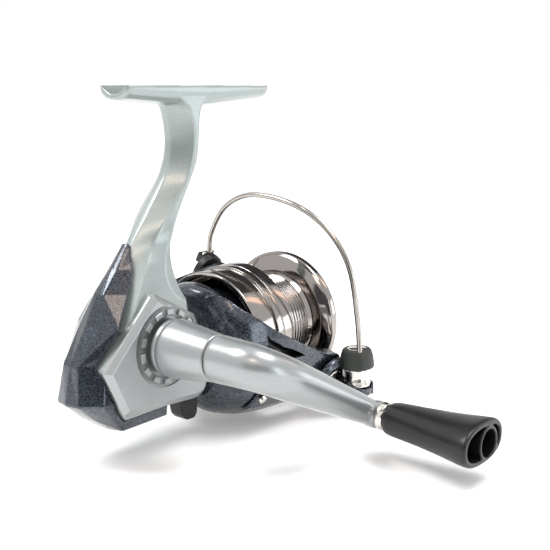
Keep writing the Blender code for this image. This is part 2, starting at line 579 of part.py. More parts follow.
def bail(bail_axis):
    hub_low, hub_high = ARM_RADIUS + 0.4, ARM_RADIUS + 3.4
    hub = turned([(0, hub_low), (7.8, hub_low), (7.8, hub_high - 0.7), (7.0, hub_high), (0, hub_high)], "X", 36)
    lever = piece("bail_lever", hub, FLAKE_PAINT, bail_axis)
    half_hub = [p for x in (hub_low + 0.2, hub_high - 0.3) for p in disc_points((x, 0, 0), (1, 0, 0), 6.6, 24)
                if p.z < 1.0]
    seat = [p for t in (-3.2, -0.4) for p in disc_points(on_roller(t), ROLLER_AXIS, 5.4 if t > -3 else 4.9, 20)]
    join(lever, hull(half_hub + seat))
    clearance = turned([(0, -0.3), (6.9, -0.3), (6.9, 16), (0, 16)], "Z", 36)
    clearance.transform(Vector((0, 0, 1)).rotation_difference(ROLLER_AXIS).to_matrix().to_4x4())
    clearance.transform(Matrix.Translation(ROLLER_SEAT))
    screw_hole = hull([p for t in (-6, 2) for p in disc_points(on_roller(t), ROLLER_AXIS, 1.65, 20)])
    cut(lever, clearance, screw_hole, rod(4.4, hub_high - 1.7, 45, "X"), rod(2.12, 30, 45, "X"))

    roller_part("roller_screw", [(0, -4.6), (2.6, -4.6), (2.9, -4.2), (2.9, -3.5), (1.5, -3.5), (1.5, 10.0), (0, 10.0)],
                PLAIN_STEEL, bail_axis, 20)
    roller_part("roller_bush", [(1.62, 0.1), (2.4, 0.1), (2.4, 6.6), (1.62, 6.6)], BLACK_PLASTIC, bail_axis, 20)
    cap = roller_part("roller_cap", [(1.62, 6.9), (6.2, 6.9), (6.25, 8.6), (5.7, 12.6), (5.1, 13.8), (0, 14.1),
                                     (0, 10.4), (1.62, 10.4)], CAP_RUBBER, bail_axis)
    wire_path = smooth_path(WIRE_ROUTE, 4)
    away = [wire_path[-1] + (wire_path[-1] - wire_path[-2]).normalized() * 0.4 * i for i in (-14, -7, 0, 1)]
    cut(cap, swept(away, [(WIRE_R + 0.3, WIRE_R + 0.3)] * 4, 12))

    holder = piece("bail_holder", turned([(0, -hub_high), (6.4, -hub_high), (6.4, -hub_low), (0, -hub_low)], "X", 32),
                   BLACK_PLASTIC, bail_axis)
    join(holder, block((-39.2, -3.1, -1.5), (-hub_low, 3.1, 5.4)))
    cut(holder, rod(WIRE_R + 0.55, 4.0, 8, "Z", (-36.7, 0.25, 0), 12), rod(2.12, -34.6, -20, "X"),
        rod(3.5, -45, -34.4, "X"))
    for i, y in enumerate((-2.1, 2.5)):
        cap_screw = turned([(0, 5.7), (0.8, 5.7), (0.8, 6.5), (0, 6.7)], "Z", 12, (-36.9, y, 0))
        piece(f"wire_clamp_screw_{i + 1}", cap_screw, BRIGHT_NICKEL, bail_axis)
    piece("bail_wire", swept(wire_path, [(WIRE_R, WIRE_R)] * len(wire_path), 8), BRIGHT_NICKEL, bail_axis)
    return lever


def line_roller(bail_axis):
    profile = [(2.52, 0.2), (4.9, 0.2), (5.0, 0.9), (4.3, 2.4), (4.1, 3.6), (4.5, 5.2), (4.9, 6.1), (4.8, 6.6),
               (2.52, 6.6)]
    shape = turned(profile, "Z", 36)
    shape.transform(Vector((0, 0, 1)).rotation_difference(ROLLER_AXIS).to_matrix().to_4x4())
    return piece("line_roller", shape, BRIGHT_NICKEL, bail_axis, ROLLER_SEAT)


def rotor_small_parts(rotor_axis):
    for name, side, head in (("bail_pivot_screw", 1, 3.6), ("bail_holder_screw", -1, 3.0)):
        heads = [(0, 28.2), (2.0, 28.2), (2.0, ARM_RADIUS + 2.2), (head, ARM_RADIUS + 2.2),
                 (head, ARM_RADIUS + 2.9), (head - 0.8, ARM_RADIUS + 3.4), (0, ARM_RADIUS + 3.4)]
        profile = [(r, h * side) for r, h in heads]
        piece(name, turned(profile, "X", 24, (0, PIVOT_Y, 0)), BRIGHT_NICKEL, rotor_axis)
    turns, per_turn, low, high = 6, 10, 12.6, 31.4
    path = [Vector((28.45 + 1.0 * math.cos(2 * math.pi * i / per_turn), low + (high - low) * i / (turns * per_turn),
                    -3.1 + 1.0 * math.sin(2 * math.pi * i / per_turn))) for i in range(turns * per_turn + 1)]
    piece("bail_spring", swept(path, [(0.26, 0.26)] * len(path), 4), PLAIN_STEEL, rotor_axis)
    weight = Matrix.Rotation(math.radians(7), 4, "Y")
    screw = turned([(0, 30.2), (1.5, 30.2), (1.5, 31.1), (0, 31.4)], "X", 16, (0, 6.6, 0))
    screw.transform(weight)
    piece("balance_screw", screw, BRIGHT_NICKEL, rotor_axis)


# ---------------------------------------------------------------- spool

def spool(spin):
    skirt = [(21.9, 7.0), (23.3, 7.0), (23.6, 7.5), (23.6, 16.2), (24.2, 16.8), (24.3, 25.1), (24.0, 25.6),
             (9.2, 25.6), (9.2, 23.6), (21.9, 23.6)]
    piece("spool_skirt", turned(skirt, "Y", 48), SPOOL_METAL, spin)
    arbor = [(6.2, 20.4), (8.9, 20.4), (8.9, 25.9), (18.4, 25.9), (17.5, 27.2), (17.5, 41.6), (18.2, 43.3),
             (12.9, 43.3), (12.9, 33.4), (6.2, 33.4)]
    piece("spool_arbor", turned(arbor, "Y", 48), SPOOL_METAL, spin)
    lip = [(14.3, 43.6), (18.5, 43.6), (24.5, 46.1), (LIP_RADIUS, 46.9), (LIP_RADIUS, 49.2), (24.1, 50.4),
           (21.4, 51.2), (19.0, 48.8), (14.3, 48.8)]
    piece("spool_lip", turned(lip, "Y", 48), SPOOL_METAL, spin)
    hub = [(MAIN_SHAFT_R + TURN_FIT, 20.4), (5.9, 20.4), (5.9, 33.6), (MAIN_SHAFT_R + TURN_FIT, 33.6)]
    piece("spool_hub_bush", turned(hub, "Y", 32), BLACK_PLASTIC, spin)
    drag = [(MAIN_SHAFT_R + 0.4, 33.9), (12.6, 33.9), (12.6, 39.6), (MAIN_SHAFT_R + 0.4, 39.6)]
    piece("drag_washers", turned(drag, "Y", 40), DRAG_FELT, spin)
    angle = math.radians(-150)
    clip = block((24.6, 18.6, -2.4), (25.6, 22.4, 2.4))
    clip.transform(Matrix.Rotation(-angle, 4, "Y"))
    piece("line_clip", clip, BLACK_PLASTIC, spin)


def drag_knob(slide):
    knob = [(0, 58.0), (10.6, 57.4), (12.8, 56.2), (13.4, 54.0), (13.4, 49.6), (12.4, 48.8), (11.8, 42.4),
            (3.2, 42.4), (3.2, 45.0), (MAIN_SHAFT_R + TURN_FIT, 45.0), (MAIN_SHAFT_R + TURN_FIT, 55.9), (0, 55.9)]
    body = piece("drag_knob", turned(knob, "Y", 48), BLACK_PLASTIC, slide)
    wing = prism([(-2.0, -12.4), (2.0, -12.4), (2.4, 12.4), (-2.4, 12.4)], 57.2, 61.4, "Y")
    join(body, wing)
    turns, per_turn = 2, 14
    path = [Vector((2.65 * math.cos(2 * math.pi * i / per_turn), 40.3 + 4.2 * i / (turns * per_turn),
                    2.65 * math.sin(2 * math.pi * i / per_turn))) for i in range(turns * per_turn + 1)]
    piece("drag_spring", swept(path, [(0.28, 0.28)] * len(path), 6, (0, 1, 0)), PLAIN_STEEL, slide)


# ---------------------------------------------------------------- handle

def handle_parts(handle):
    shank = [(0, 14.7), (7.4, 14.7), (8.9, 15.3), (9.3, 16.4), (9.0, 17.4), (9.4, 18.2), (9.5, 19.2), (7.33, 35.7),
             (0, 35.7)]
    piece("handle_shank", turned(shank, "X", 48), SILVER_PAINT, handle)
    end_y, end_z = KNOB_Y - HANDLE_Y, KNOB_Z - HANDLE_Z
    start, bend, end = Vector((36.0, 0, 0)), Vector((53.5, 0, 0)), Vector((61.6, end_y, end_z))
    path, sizes = [], []
    for i in range(5):
        path.append(start + (bend - start) * 0.5 * i / 4)
        sizes.append((7.33 - 0.05 * i, 7.33 - 0.05 * i))
    middle = path[-1]
    knee = bend + (end - bend) * 0.24
    for i in range(1, 7):
        t = i / 6
        path.append(middle * (1 - t) ** 2 + bend * 2 * t * (1 - t) + knee * t * t)
        sizes.append((7.13 - 1.1 * t, 7.13 - 0.5 * t))
    for i in range(1, 7):
        t = i / 6
        path.append(knee + (end - knee) * t)
        sizes.append((6.03 - 2.3 * t, 6.63 - 2.2 * t))
    arm = piece("handle_arm", swept(path, sizes, 20, (0, 0, 1)), SILVER_PAINT, handle)
    knob_at = (0, end_y, end_z)
    join(arm, turned([(0, 58.0), (3.6, 58.0), (4.6, 59.4), (4.7, 64.6), (4.2, 65.4), (0, 65.4)], "X", 32, knob_at))
    cut(arm, rod(2.3, 59.4, 70, "X", knob_at))
    piece("knob_pin", rod(2.15, 59.8, 88.0, "X", knob_at), PLAIN_STEEL, handle)
    collar = [(2.3, 65.7), (4.6, 65.7), (4.8, 66.4), (4.4, 68.1), (2.3, 68.1)]
    piece("knob_collar", turned(collar, "X", 32, knob_at), BRIGHT_NICKEL, handle)
    cap = [(0, -18.4), (6.2, -18.4), (7.6, -17.0), (7.8, -12.6), (3.4, -12.6), (3.4, -12.9), (0, -12.9)]
    piece("handle_screw_cap", turned(cap, "X", 40), SILVER_PAINT, handle)


def knob_section(x, half_y, half_z, count=32):
    """A flat oval, squarer than an ellipse, that leans back and up towards the knob's end."""
    ring = []
    lean = (x - KNOB_X0) / (KNOB_X1 - KNOB_X0)
    for i in range(count):
        angle = 2 * math.pi * i / count
        c, s = math.cos(angle), math.sin(angle)
        ring.append((x, half_y * math.copysign(abs(c) ** 0.82, c) - 3.2 * lean,
                     half_z * math.copysign(abs(s) ** 0.82, s) + lean))
    return ring


def knob(knob_axis):
    stations = [(KNOB_X0, 4.6, 4.0), (69.2, 5.5, 4.8), (71.5, 6.1, 5.2), (78.0, 7.2, 5.4), (86.0, 8.8, 5.6),
                (94.0, 10.6, 6.0), (100.0, 11.9, 6.5), (103.2, 12.1, 6.7), (KNOB_X1, 11.5, 6.2)]
    grip = piece("knob", loft([knob_section(*s) for s in stations]), KNOB_BLACK, knob_axis)
    cut(grip, rod(2.3, 60, 89.0, "X"), rod(4.4, 88.5, 110, "X", (0, 0, 0), 32))
    recess = loft([knob_section(91.0, 8.2, 4.0), knob_section(108.0, 10.6, 5.1)])
    side_walls = piece("recess", recess, None)
    apply_boolean(side_walls, piece("core", rod(5.5, 90, 110, "X", (0, 0, 0), 32), None), "DIFFERENCE")
    side_walls.parent = grip.parent
    apply_boolean(grip, side_walls, "DIFFERENCE")
    return grip


def screws():
    for i, (y, z) in enumerate(SCREW_PLACES):
        head = [(0, -13.4), (1.8, -13.4), (2.2, -13.0), (2.2, -SIDE_X - GAP), (1.25, -SIDE_X - GAP), (1.25, -9.0),
                (0, -9.0)]
        piece(f"housing_screw_{i + 1}", turned(head, "X", 16, (0, y, z)), PLAIN_STEEL)


def build():
    clear_scene()
    handle = empty("handle_axis", (0, HANDLE_Y, HANDLE_Z))
    rotor_axis = empty("rotor_axis", (0, 0, SPOOL_Z), None, (0, -ROTOR_TURN, 0))
    bail_axis = empty("bail_axis", (0, PIVOT_Y, 0), rotor_axis)
    slide = empty("slide_axis", (0, 0, SPOOL_Z))
    knob_axis = empty("knob_axis", (0, KNOB_Y - HANDLE_Y, KNOB_Z - HANDLE_Z), handle)
    bpy.context.view_layer.update()
    body_casting()
    side_plate()
    dial_ring()
    rear_cover()
    anti_reverse_lever()
    screws()
    drive_train(handle)
    main_shaft(slide)
    pinion_and_bearing(rotor_axis)
    rotor(rotor_axis)
    arm_cover("arm_cover_handle_side", rotor_axis, 0)
    arm_cover("arm_cover_far_side", rotor_axis, 180)
    rotor_small_parts(rotor_axis)
    bail(bail_axis)
    line_roller(bail_axis)
    spool(slide)
    drag_knob(slide)
    handle_parts(handle)
    knob(knob_axis)


build()
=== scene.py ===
"""Looks for the spinning reel: finer meshes, finishes, light and camera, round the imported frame."""
import json
import math

import bmesh
import bpy
from mathutils import Matrix, Vector


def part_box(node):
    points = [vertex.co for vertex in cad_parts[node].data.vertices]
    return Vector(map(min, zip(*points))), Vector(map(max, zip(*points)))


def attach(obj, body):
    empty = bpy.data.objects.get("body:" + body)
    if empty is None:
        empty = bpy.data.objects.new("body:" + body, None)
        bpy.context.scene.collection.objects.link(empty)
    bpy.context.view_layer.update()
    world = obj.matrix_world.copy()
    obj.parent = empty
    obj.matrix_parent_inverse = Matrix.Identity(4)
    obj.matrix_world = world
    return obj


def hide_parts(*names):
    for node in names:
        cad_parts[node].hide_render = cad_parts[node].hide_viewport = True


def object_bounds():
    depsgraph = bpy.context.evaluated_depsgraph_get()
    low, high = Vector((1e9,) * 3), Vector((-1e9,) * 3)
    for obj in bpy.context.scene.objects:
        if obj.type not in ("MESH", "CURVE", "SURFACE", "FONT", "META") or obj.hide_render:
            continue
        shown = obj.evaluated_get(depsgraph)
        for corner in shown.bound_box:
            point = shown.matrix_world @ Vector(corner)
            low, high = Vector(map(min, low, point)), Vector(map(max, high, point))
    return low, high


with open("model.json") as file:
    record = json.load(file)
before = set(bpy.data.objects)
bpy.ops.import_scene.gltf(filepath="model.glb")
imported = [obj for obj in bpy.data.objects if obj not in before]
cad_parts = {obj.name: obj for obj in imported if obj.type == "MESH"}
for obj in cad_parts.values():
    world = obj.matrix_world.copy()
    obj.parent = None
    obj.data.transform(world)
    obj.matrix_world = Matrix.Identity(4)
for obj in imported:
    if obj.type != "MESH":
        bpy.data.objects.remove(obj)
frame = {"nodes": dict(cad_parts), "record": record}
box_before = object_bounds()
nodes = frame["nodes"]
joints = {j["name"]: j for j in frame["record"]["behaviour"]["joints"]}

MM = 0.001
ROTOR_TURN = math.radians(-28.0)          # where the handle-side rotor arm stands
SPOOL_Z = joints["rotor_turn"]["pos_m"][2]
HANDLE_Y, HANDLE_Z = joints["handle_turn"]["pos_m"][1:]
PIVOT_Y = joints["bail_open"]["pos_m"][1]
KNOB_Y, KNOB_Z = joints["knob_spin"]["pos_m"][1:]
FLOOR_Z = box_before[0][2] - 0.004

ROTOR_FRAME = Matrix.Translation((0, 0, SPOOL_Z)) @ Matrix.Rotation(-ROTOR_TURN, 4, "Y")


# ---------------------------------------------------------------- materials

def shader(name, color, metallic, roughness, **more):
    """A Principled material; returns it with its nodes and links."""
    made = bpy.data.materials.new(name)
    made.use_nodes = True
    tree = made.node_tree
    principled = tree.nodes["Principled BSDF"]
    principled.inputs["Base Color"].default_value = (*color, 1)
    principled.inputs["Metallic"].default_value = metallic
    principled.inputs["Roughness"].default_value = roughness
    for key, value in more.items():
        principled.inputs[key.replace("_", " ")].default_value = value
    return made, tree, principled


def add(tree, kind, **inputs):
    node = tree.nodes.new(kind)
    for key, value in inputs.items():
        node.inputs[key].default_value = value
    return node


def noise(tree, scale, detail=3.0, stretch=(1, 1, 1)):
    """Noise in the object's own metres."""
    coords = tree.nodes.new("ShaderNodeTexCoord")
    mapping = add(tree, "ShaderNodeMapping", Scale=stretch)
    tree.links.new(coords.outputs["Object"], mapping.inputs["Vector"])
    texture = add(tree, "ShaderNodeTexNoise", Scale=scale, Detail=detail)
    tree.links.new(mapping.outputs["Vector"], texture.inputs["Vector"])
    return texture.outputs["Fac"]


def remap(tree, source, low, high, from_low=0.3, from_high=0.7):
    mapped = add(tree, "ShaderNodeMapRange")
    for key, value in (("From Min", from_low), ("From Max", from_high), ("To Min", low), ("To Max", high)):
        mapped.inputs[key].default_value = value
    tree.links.new(source, mapped.inputs["Value"])
    return mapped.outputs["Result"]


def bump(tree, principled, height, strength, distance):
    node = add(tree, "ShaderNodeBump", Strength=strength, Distance=distance)
    tree.links.new(height, node.inputs["Height"])
    tree.links.new(node.outputs["Normal"], principled.inputs["Normal"])


def vary_color(tree, principled, factor, dark, light):
    ramp = tree.nodes.new("ShaderNodeValToRGB")
    ramp.color_ramp.elements[0].color = (*dark, 1)
    ramp.color_ramp.elements[1].color = (*light, 1)
    tree.links.new(factor, ramp.inputs["Fac"])
    tree.links.new(ramp.outputs["Color"], principled.inputs["Base Color"])


def metallic_paint(name, dark, light, roughness, flake=0.10, coat=0.5, metallic=0.7, scale=5200.0):
    """Sprayed metallic paint: fine flakes, a slight orange peel and a clear coat."""
    made, tree, principled = shader(name, light, metallic, roughness, Coat_Weight=coat, Coat_Roughness=0.08)
    flakes = add(tree, "ShaderNodeTexVoronoi", Scale=scale)
    coords = tree.nodes.new("ShaderNodeTexCoord")
    tree.links.new(coords.outputs["Object"], flakes.inputs["Vector"])
    split = tree.nodes.new("ShaderNodeSeparateColor")
    tree.links.new(flakes.outputs["Color"], split.inputs["Color"])
    vary_color(tree, principled, split.outputs["Red"], dark, light)
    tree.links.new(remap(tree, split.outputs["Green"], roughness - flake, roughness + flake, 0, 1),
                   principled.inputs["Roughness"])
    bump(tree, principled, noise(tree, 900.0), 0.04, 0.00003)
    return made


def polished_metal(name, color, roughness, turned_axis=None):
    """Plated or polished metal with faint smudges and, if turned, fine rings."""
    made, tree, principled = shader(name, color, 1.0, roughness)
    smudge = remap(tree, noise(tree, 160.0, 5.0), roughness * 0.75, roughness * 1.5)
    tree.links.new(smudge, principled.inputs["Roughness"])
    stretch = {"X": (9000, 60, 60), "Y": (60, 9000, 60), None: (700, 700, 700)}[turned_axis]
    bump(tree, principled, noise(tree, 1.0, 2.0, stretch), 0.10, 0.00002)
    return made


def plastic(name, color, roughness, grain=1400.0):
    made, tree, principled = shader(name, color, 0.0, roughness, Specular_IOR_Level=0.4)
    tree.links.new(remap(tree, noise(tree, 120.0, 4.0), roughness - 0.06, roughness + 0.08),
                   principled.inputs["Roughness"])
    bump(tree, principled, noise(tree, grain), 0.2, 0.00004)
    return made


PEARL = metallic_paint("pearl_paint", (0.27, 0.305, 0.30), (0.335, 0.375, 0.37), 0.32, 0.02, 0.3, 0.45)
SILVER = metallic_paint("silver_paint", (0.29, 0.305, 0.31), (0.33, 0.345, 0.35), 0.30, 0.01, 0.5, 0.6)
FLAKE = metallic_paint("flake_paint", (0.004, 0.005, 0.008), (0.075, 0.09, 0.12), 0.26, 0.10, 0.8,
                       scale=2600.0)
COVER = metallic_paint("cover_paint", (0.006, 0.008, 0.012), (0.065, 0.08, 0.105), 0.28, 0.10, 0.8,
                       scale=3200.0)
SPOOL = polished_metal("spool_metal", (0.34, 0.315, 0.30), 0.09, "Y")
NICKEL = polished_metal("bright_nickel", (0.76, 0.73, 0.68), 0.11)
WIRE_METAL = polished_metal("wire_metal", (0.40, 0.375, 0.345), 0.2)
DIAL_BASE = metallic_paint("dial_base_paint", (0.14, 0.15, 0.15), (0.20, 0.21, 0.21), 0.35, 0.05, 0.2)
STEEL = polished_metal("plain_steel", (0.50, 0.50, 0.51), 0.26)
BRASS = polished_metal("gear_brass", (0.60, 0.44, 0.19), 0.25)
BLACK = plastic("black_plastic", (0.006, 0.006, 0.007), 0.36)
KNOB = plastic("knob_black", (0.006, 0.006, 0.007), 0.34, 2200.0)
RUBBER = plastic("cap_rubber", (0.030, 0.034, 0.030), 0.5)
FELT = plastic("drag_felt", (0.26, 0.24, 0.20), 0.9)
MATERIALS = {"pearl_paint": PEARL, "silver_paint": SILVER, "flake_paint": FLAKE, "spool_metal": SPOOL,
             "bright_nickel": NICKEL, "plain_steel": STEEL, "gear_brass": BRASS, "gear_zinc": STEEL,
             "black_plastic": BLACK, "knob_black": KNOB, "cap_rubber": RUBBER, "drag_felt": FELT}


# ---------------------------------------------------------------- carried-over nodes

def carry_over():
    """Every CAD node gets the finish of its slot; those replaced later are hidden then."""
    slots = {s["node"]: s["material_slot"] for s in frame["record"]["subparts"]}
    for name, node in nodes.items():
        node.data.materials.clear()
        node.data.materials.append(MATERIALS[slots[name]])


carry_over()
nodes["rear_cover"].data.materials[0] = COVER


# ---------------------------------------------------------------- mesh tools, in millimetres

AIM = {                   # turns a shape made along +Z so that it lies along another axis
    "Z": Matrix.Identity(4),
    "Y": Matrix.Rotation(math.radians(-90), 4, "X"),
    "X": Matrix.Rotation(math.radians(90), 4, "Y"),
}
ALONG = {"X": lambda a, b, h: (h, a, b), "Y": lambda a, b, h: (a, h, b), "Z": lambda a, b, h: (a, b, h)}
TURNS = 128               # facets of a turned piece
COARSE = 1.0


def loft(rings):
    """Skin a list of rings with equal counts and cap the ends."""
    shape = bmesh.new()
    made = [[shape.verts.new(p) for p in ring] for ring in rings]
    count = len(made[0])
    for low, high in zip(made, made[1:]):
        for j in range(count):
            k = (j + 1) % count
            shape.faces.new((low[j], low[k], high[k], high[j]))
    shape.faces.new(list(reversed(made[0])))
    shape.faces.new(made[-1])
    return shape


def turned(profile, axis, at=(0, 0, 0), segments=TURNS):
    """Spin (radius, height) points. Ends on the axis make a solid, others a ring."""
    shape = bmesh.new()
    solid_form = profile[0][0] == 0 and profile[-1][0] == 0
    rings = []
    for radius, height in profile:
        count = 1 if radius == 0 else segments
        rings.append([shape.verts.new((radius * math.cos(2 * math.pi * i / segments),
                                       radius * math.sin(2 * math.pi * i / segments), height))
                      for i in range(count)])
    for i in range(len(rings) - 1 if solid_form else len(rings)):
        low, high = rings[i], rings[(i + 1) % len(rings)]
        for j in range(segments):
            k = (j + 1) % segments
            corners = [low[j % len(low)], low[k % len(low)], high[k % len(high)], high[j % len(high)]]
            corners = list(dict.fromkeys(corners))
            if len(corners) > 2:
                shape.faces.new(corners)
    shape.transform(Matrix.Translation(at) @ AIM[axis])
    return shape


def rod(radius, low, high, axis, at=(0, 0, 0), segments=64):
    return turned([(0, low), (radius, low), (radius, high), (0, high)], axis, at, segments)


def prism(outline, low, high, axis):
    return loft([[ALONG[axis](a, b, h) for a, b in outline] for h in (low, high)])


def block(low, high):
    return prism([(low[0], low[1]), (high[0], low[1]), (high[0], high[1]), (low[0], high[1])],
                 low[2], high[2], "Z")


def hull(points):
    shape = bmesh.new()
    for p in points:
        shape.verts.new(p)
    made = bmesh.ops.convex_hull(shape, input=shape.verts)
    loose = [v for v in made["geom_interior"] if isinstance(v, bmesh.types.BMVert)]
    bmesh.ops.delete(shape, geom=loose, context="VERTS")
    return shape


def disc_points(centre, normal, radius, count=32):
    across = Vector(normal).orthogonal().normalized()
    along = Vector(normal).normalized().cross(across)
    return [Vector(centre) + radius * (across * math.cos(2 * math.pi * i / count)
                                       + along * math.sin(2 * math.pi * i / count)) for i in range(count)]


def arc(centre, radius, start, end, count):
    step = (end - start) / (count - 1)
    return [(centre[0] + radius * math.cos(math.radians(start + i * step)),
             centre[1] + radius * math.sin(math.radians(start + i * step))) for i in range(count)]


def inset(outline, distance):
    """Move each edge of a convex outline inwards."""
    middle = Vector((sum(p[0] for p in outline), sum(p[1] for p in outline))) / len(outline)
    lines = []
    for i, p in enumerate(outline):
        along = (Vector(outline[(i + 1) % len(outline)]) - Vector(p)).normalized()
        normal = Vector((-along.y, along.x))
        if normal.dot(middle - Vector(p)) < 0:
            normal = -normal
        lines.append((Vector(p) + normal * distance, along))
    result = []
    for i in range(len(lines)):
        (p, a), (q, b) = lines[i - 1], lines[i]
        t = ((q - p).x * b.y - (q - p).y * b.x) / (a.x * b.y - a.y * b.x)
        result.append(tuple(p + a * t))
    return result


def rounded(points, radius, steps=4, closed=True):
    """Round the corners of an outline or a lathe profile."""
    result = []
    count = len(points)
    for i, p in enumerate(points):
        if not closed and i in (0, count - 1):
            result.append(tuple(p))
            continue
        here = Vector(p)
        before, after = Vector(points[i - 1]) - here, Vector(points[(i + 1) % count]) - here
        reach = min(radius, before.length * 0.45, after.length * 0.45)
        start, end = here + before.normalized() * reach, here + after.normalized() * reach
        for k in range(steps + 1):
            t = k / steps
            result.append(tuple(start * (1 - t) ** 2 + here * 2 * t * (1 - t) + end * t * t))
    return result


def between(table, value):
    """Smooth values from rows sorted by their first number (Catmull-Rom)."""
    rows = sorted(table)
    i = max(0, min(len(rows) - 2, sum(1 for row in rows if row[0] <= value) - 1))
    a, b = rows[i], rows[i + 1]
    before, after = rows[max(i - 1, 0)], rows[min(i + 2, len(rows) - 1)]
    span = b[0] - a[0]
    t = min(1, max(0, (value - a[0]) / span))
    result = []
    for k in range(1, len(a)):
        slope_a = (b[k] - before[k]) / (b[0] - before[0]) * span
        slope_b = (after[k] - a[k]) / (after[0] - a[0]) * span
        result.append((2 * t ** 3 - 3 * t * t + 1) * a[k] + (t ** 3 - 2 * t * t + t) * slope_a
                      + (3 * t * t - 2 * t ** 3) * b[k] + (t ** 3 - t * t) * slope_b)
    return result


def steps_between(low, high, step):
    count = max(1, round(abs(high - low) / step))
    return [low + (high - low) * i / count for i in range(count + 1)]


def smooth_path(points, per_span):
    """Catmull-Rom curve through the given points."""
    ends = [2 * Vector(points[0]) - Vector(points[1])] + [Vector(p) for p in points]
    ends.append(2 * Vector(points[-1]) - Vector(points[-2]))
    path = []
    for i in range(1, len(ends) - 2):
        p0, p1, p2, p3 = ends[i - 1:i + 3]
        for s in range(per_span):
            t = s / per_span
            path.append(0.5 * (2 * p1 + (p2 - p0) * t + (2 * p0 - 5 * p1 + 4 * p2 - p3) * t * t
                               + (3 * p1 - p0 - 3 * p2 + p3) * t ** 3))
    path.append(Vector(points[-1]))
    return path


def swept(path, sizes, sides, square=1.0):
    """Sweep an ellipse, or a squarer oval, along a path; sizes are half width and half height."""
    rings = []
    side = None
    for i, point in enumerate(path):
        ahead = (path[min(i + 1, len(path) - 1)] - path[max(i - 1, 0)]).normalized()
        if side is None:
            side = ahead.cross(Vector((0, 0, 1))).normalized()
        side = (side - ahead * side.dot(ahead)).normalized()
        top = side.cross(ahead)
        wide, high = sizes[i]
        ring = []
        for k in range(sides):
            c, s = math.cos(2 * math.pi * k / sides), math.sin(2 * math.pi * k / sides)
            ring.append(point + side * wide * math.copysign(abs(c) ** square, c)
                        + top * high * math.copysign(abs(s) ** square, s))
        rings.append(ring)
    return loft(rings)


def solid(name, *shapes):
    """One object in metres from closed shapes in millimetres."""
    mesh = bpy.data.meshes.new(name)
    whole = bmesh.new()
    for shape in shapes:
        bmesh.ops.remove_doubles(shape, verts=shape.verts, dist=1e-5)
        bmesh.ops.recalc_face_normals(shape, faces=shape.faces)
        shape.to_mesh(mesh)
        whole.from_mesh(mesh)
        shape.free()
    whole.transform(Matrix.Scale(MM, 4))
    whole.to_mesh(mesh)
    whole.free()
    thing = bpy.data.objects.new(name, mesh)
    bpy.context.scene.collection.objects.link(thing)
    return thing


def bake(thing):
    """Replace the mesh by what its modifiers make of it."""
    bpy.context.view_layer.update()
    graph = bpy.context.evaluated_depsgraph_get()
    mesh = bpy.data.meshes.new_from_object(thing.evaluated_get(graph))
    thing.modifiers.clear()
    old, thing.data = thing.data, mesh
    bpy.data.meshes.remove(old)


def cut_by(thing, tool):
    """Cut a finished object out of a piece, and delete that object."""
    step = thing.modifiers.new("cut", "BOOLEAN")
    step.operation, step.solver, step.object = "DIFFERENCE", "EXACT", tool
    bake(thing)
    bpy.data.objects.remove(tool, do_unlink=True)


def cut(thing, *shapes):
    """Cut closed shapes out of a piece one after another."""
    for shape in shapes:
        cut_by(thing, solid("cutter", shape))


def cast(thing, voxel, passes=4):
    """Melt overlapping shapes into one skin with soft edges, as a casting has."""
    melt = thing.modifiers.new("melt", "REMESH")
    melt.mode, melt.voxel_size, melt.adaptivity = "VOXEL", voxel * COARSE * MM, 0.0
    soften = thing.modifiers.new("soften", "SMOOTH")
    soften.factor, soften.iterations = 0.5, passes
    bake(thing)
    return thing


def show(thing, finish, body, *replaced, angle=None):
    """Give a piece its finish, its body and the CAD nodes it stands for."""
    thing.data.materials.clear()
    thing.data.materials.append(finish)
    thing.data.shade_smooth()
    if angle:
        thing.data.set_sharp_from_angle(angle=math.radians(angle))
    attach(thing, body)
    if replaced:
        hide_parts(*replaced)


def place(thing, matrix):
    """Move the mesh itself from a local frame in metres to the row frame."""
    thing.data.transform(matrix)
    return thing


# ---------------------------------------------------------------- body

FOOT_HALF, FOOT_END, TROUGH = 6.8, 33.0, 2.4
STEM = (                  # z, ridge y, rear corner y, rear half width, front y, front half width
    (-0.6, -17.5, -13.5, 6.5, 5.6, 6.5), (-1.6, -15.4, -10.6, 6.6, 2.8, 6.6),
    (-3.2, -13.4, -8.4, 6.7, 0.8, 6.7), (-6.0, -12.0, -6.2, 6.8, -0.9, 6.8),
    (-11.0, -10.9, -5.0, 7.0, -1.9, 7.0), (-17.0, -10.6, -5.2, 7.0, -2.5, 7.0),
    (-22.5, -11.8, -6.6, 7.0, -3.7, 7.0), (-28.0, -14.6, -9.3, 7.0, -6.6, 7.0),
    (-35.5, -20.3, -15.6, 7.2, -11.2, 7.2),
    (-41.8, -25.2, -20.8, 6.7, -14.8, 7.6), (-47.5, -29.4, -24.4, 5.8, -17.5, 8.6),
    (-54.0, -33.4, -29.2, 7.9, -18.5, 10.5), (-60.0, -37.0, -33.2, 9.2, -17.2, 11.4),
    (-66.0, -40.0, -37.0, 10.0, -14.5, 11.6), (-72.0, -43.2, -40.4, 9.6, -13.4, 11.4))
STEM_CREASE = (           # z, y of the crease where the side turns in towards the front
    (-42.0, -15.0), (-43.9, -17.6), (-49.9, -23.6), (-54.1, -26.2), (-58.1, -25.4), (-61.9, -22.6),
    (-65.2, -18.0))
HOUSING = [(-30.6, -62.0), (-14.2, -71.2), (-10.5, -75.0), (-8.4, -79.0), (-8.0, -83.0), (-8.0, -95.0),
           (-9.4, -98.2), (-12.5, -99.5), (-43.0, -99.5), (-45.0, -96.6), (-48.2, -89.0), (-50.2, -82.4)]
GEAR_ROOM = [(-30.4, -64.2), (-16.0, -72.2), (-12.4, -76.0), (-11.8, -79.5), (-11.8, -94.5), (-14.0, -97.2),
             (-42.3, -97.2), (-43.6, -95.4), (-46.6, -88.6), (-48.0, -82.6)]
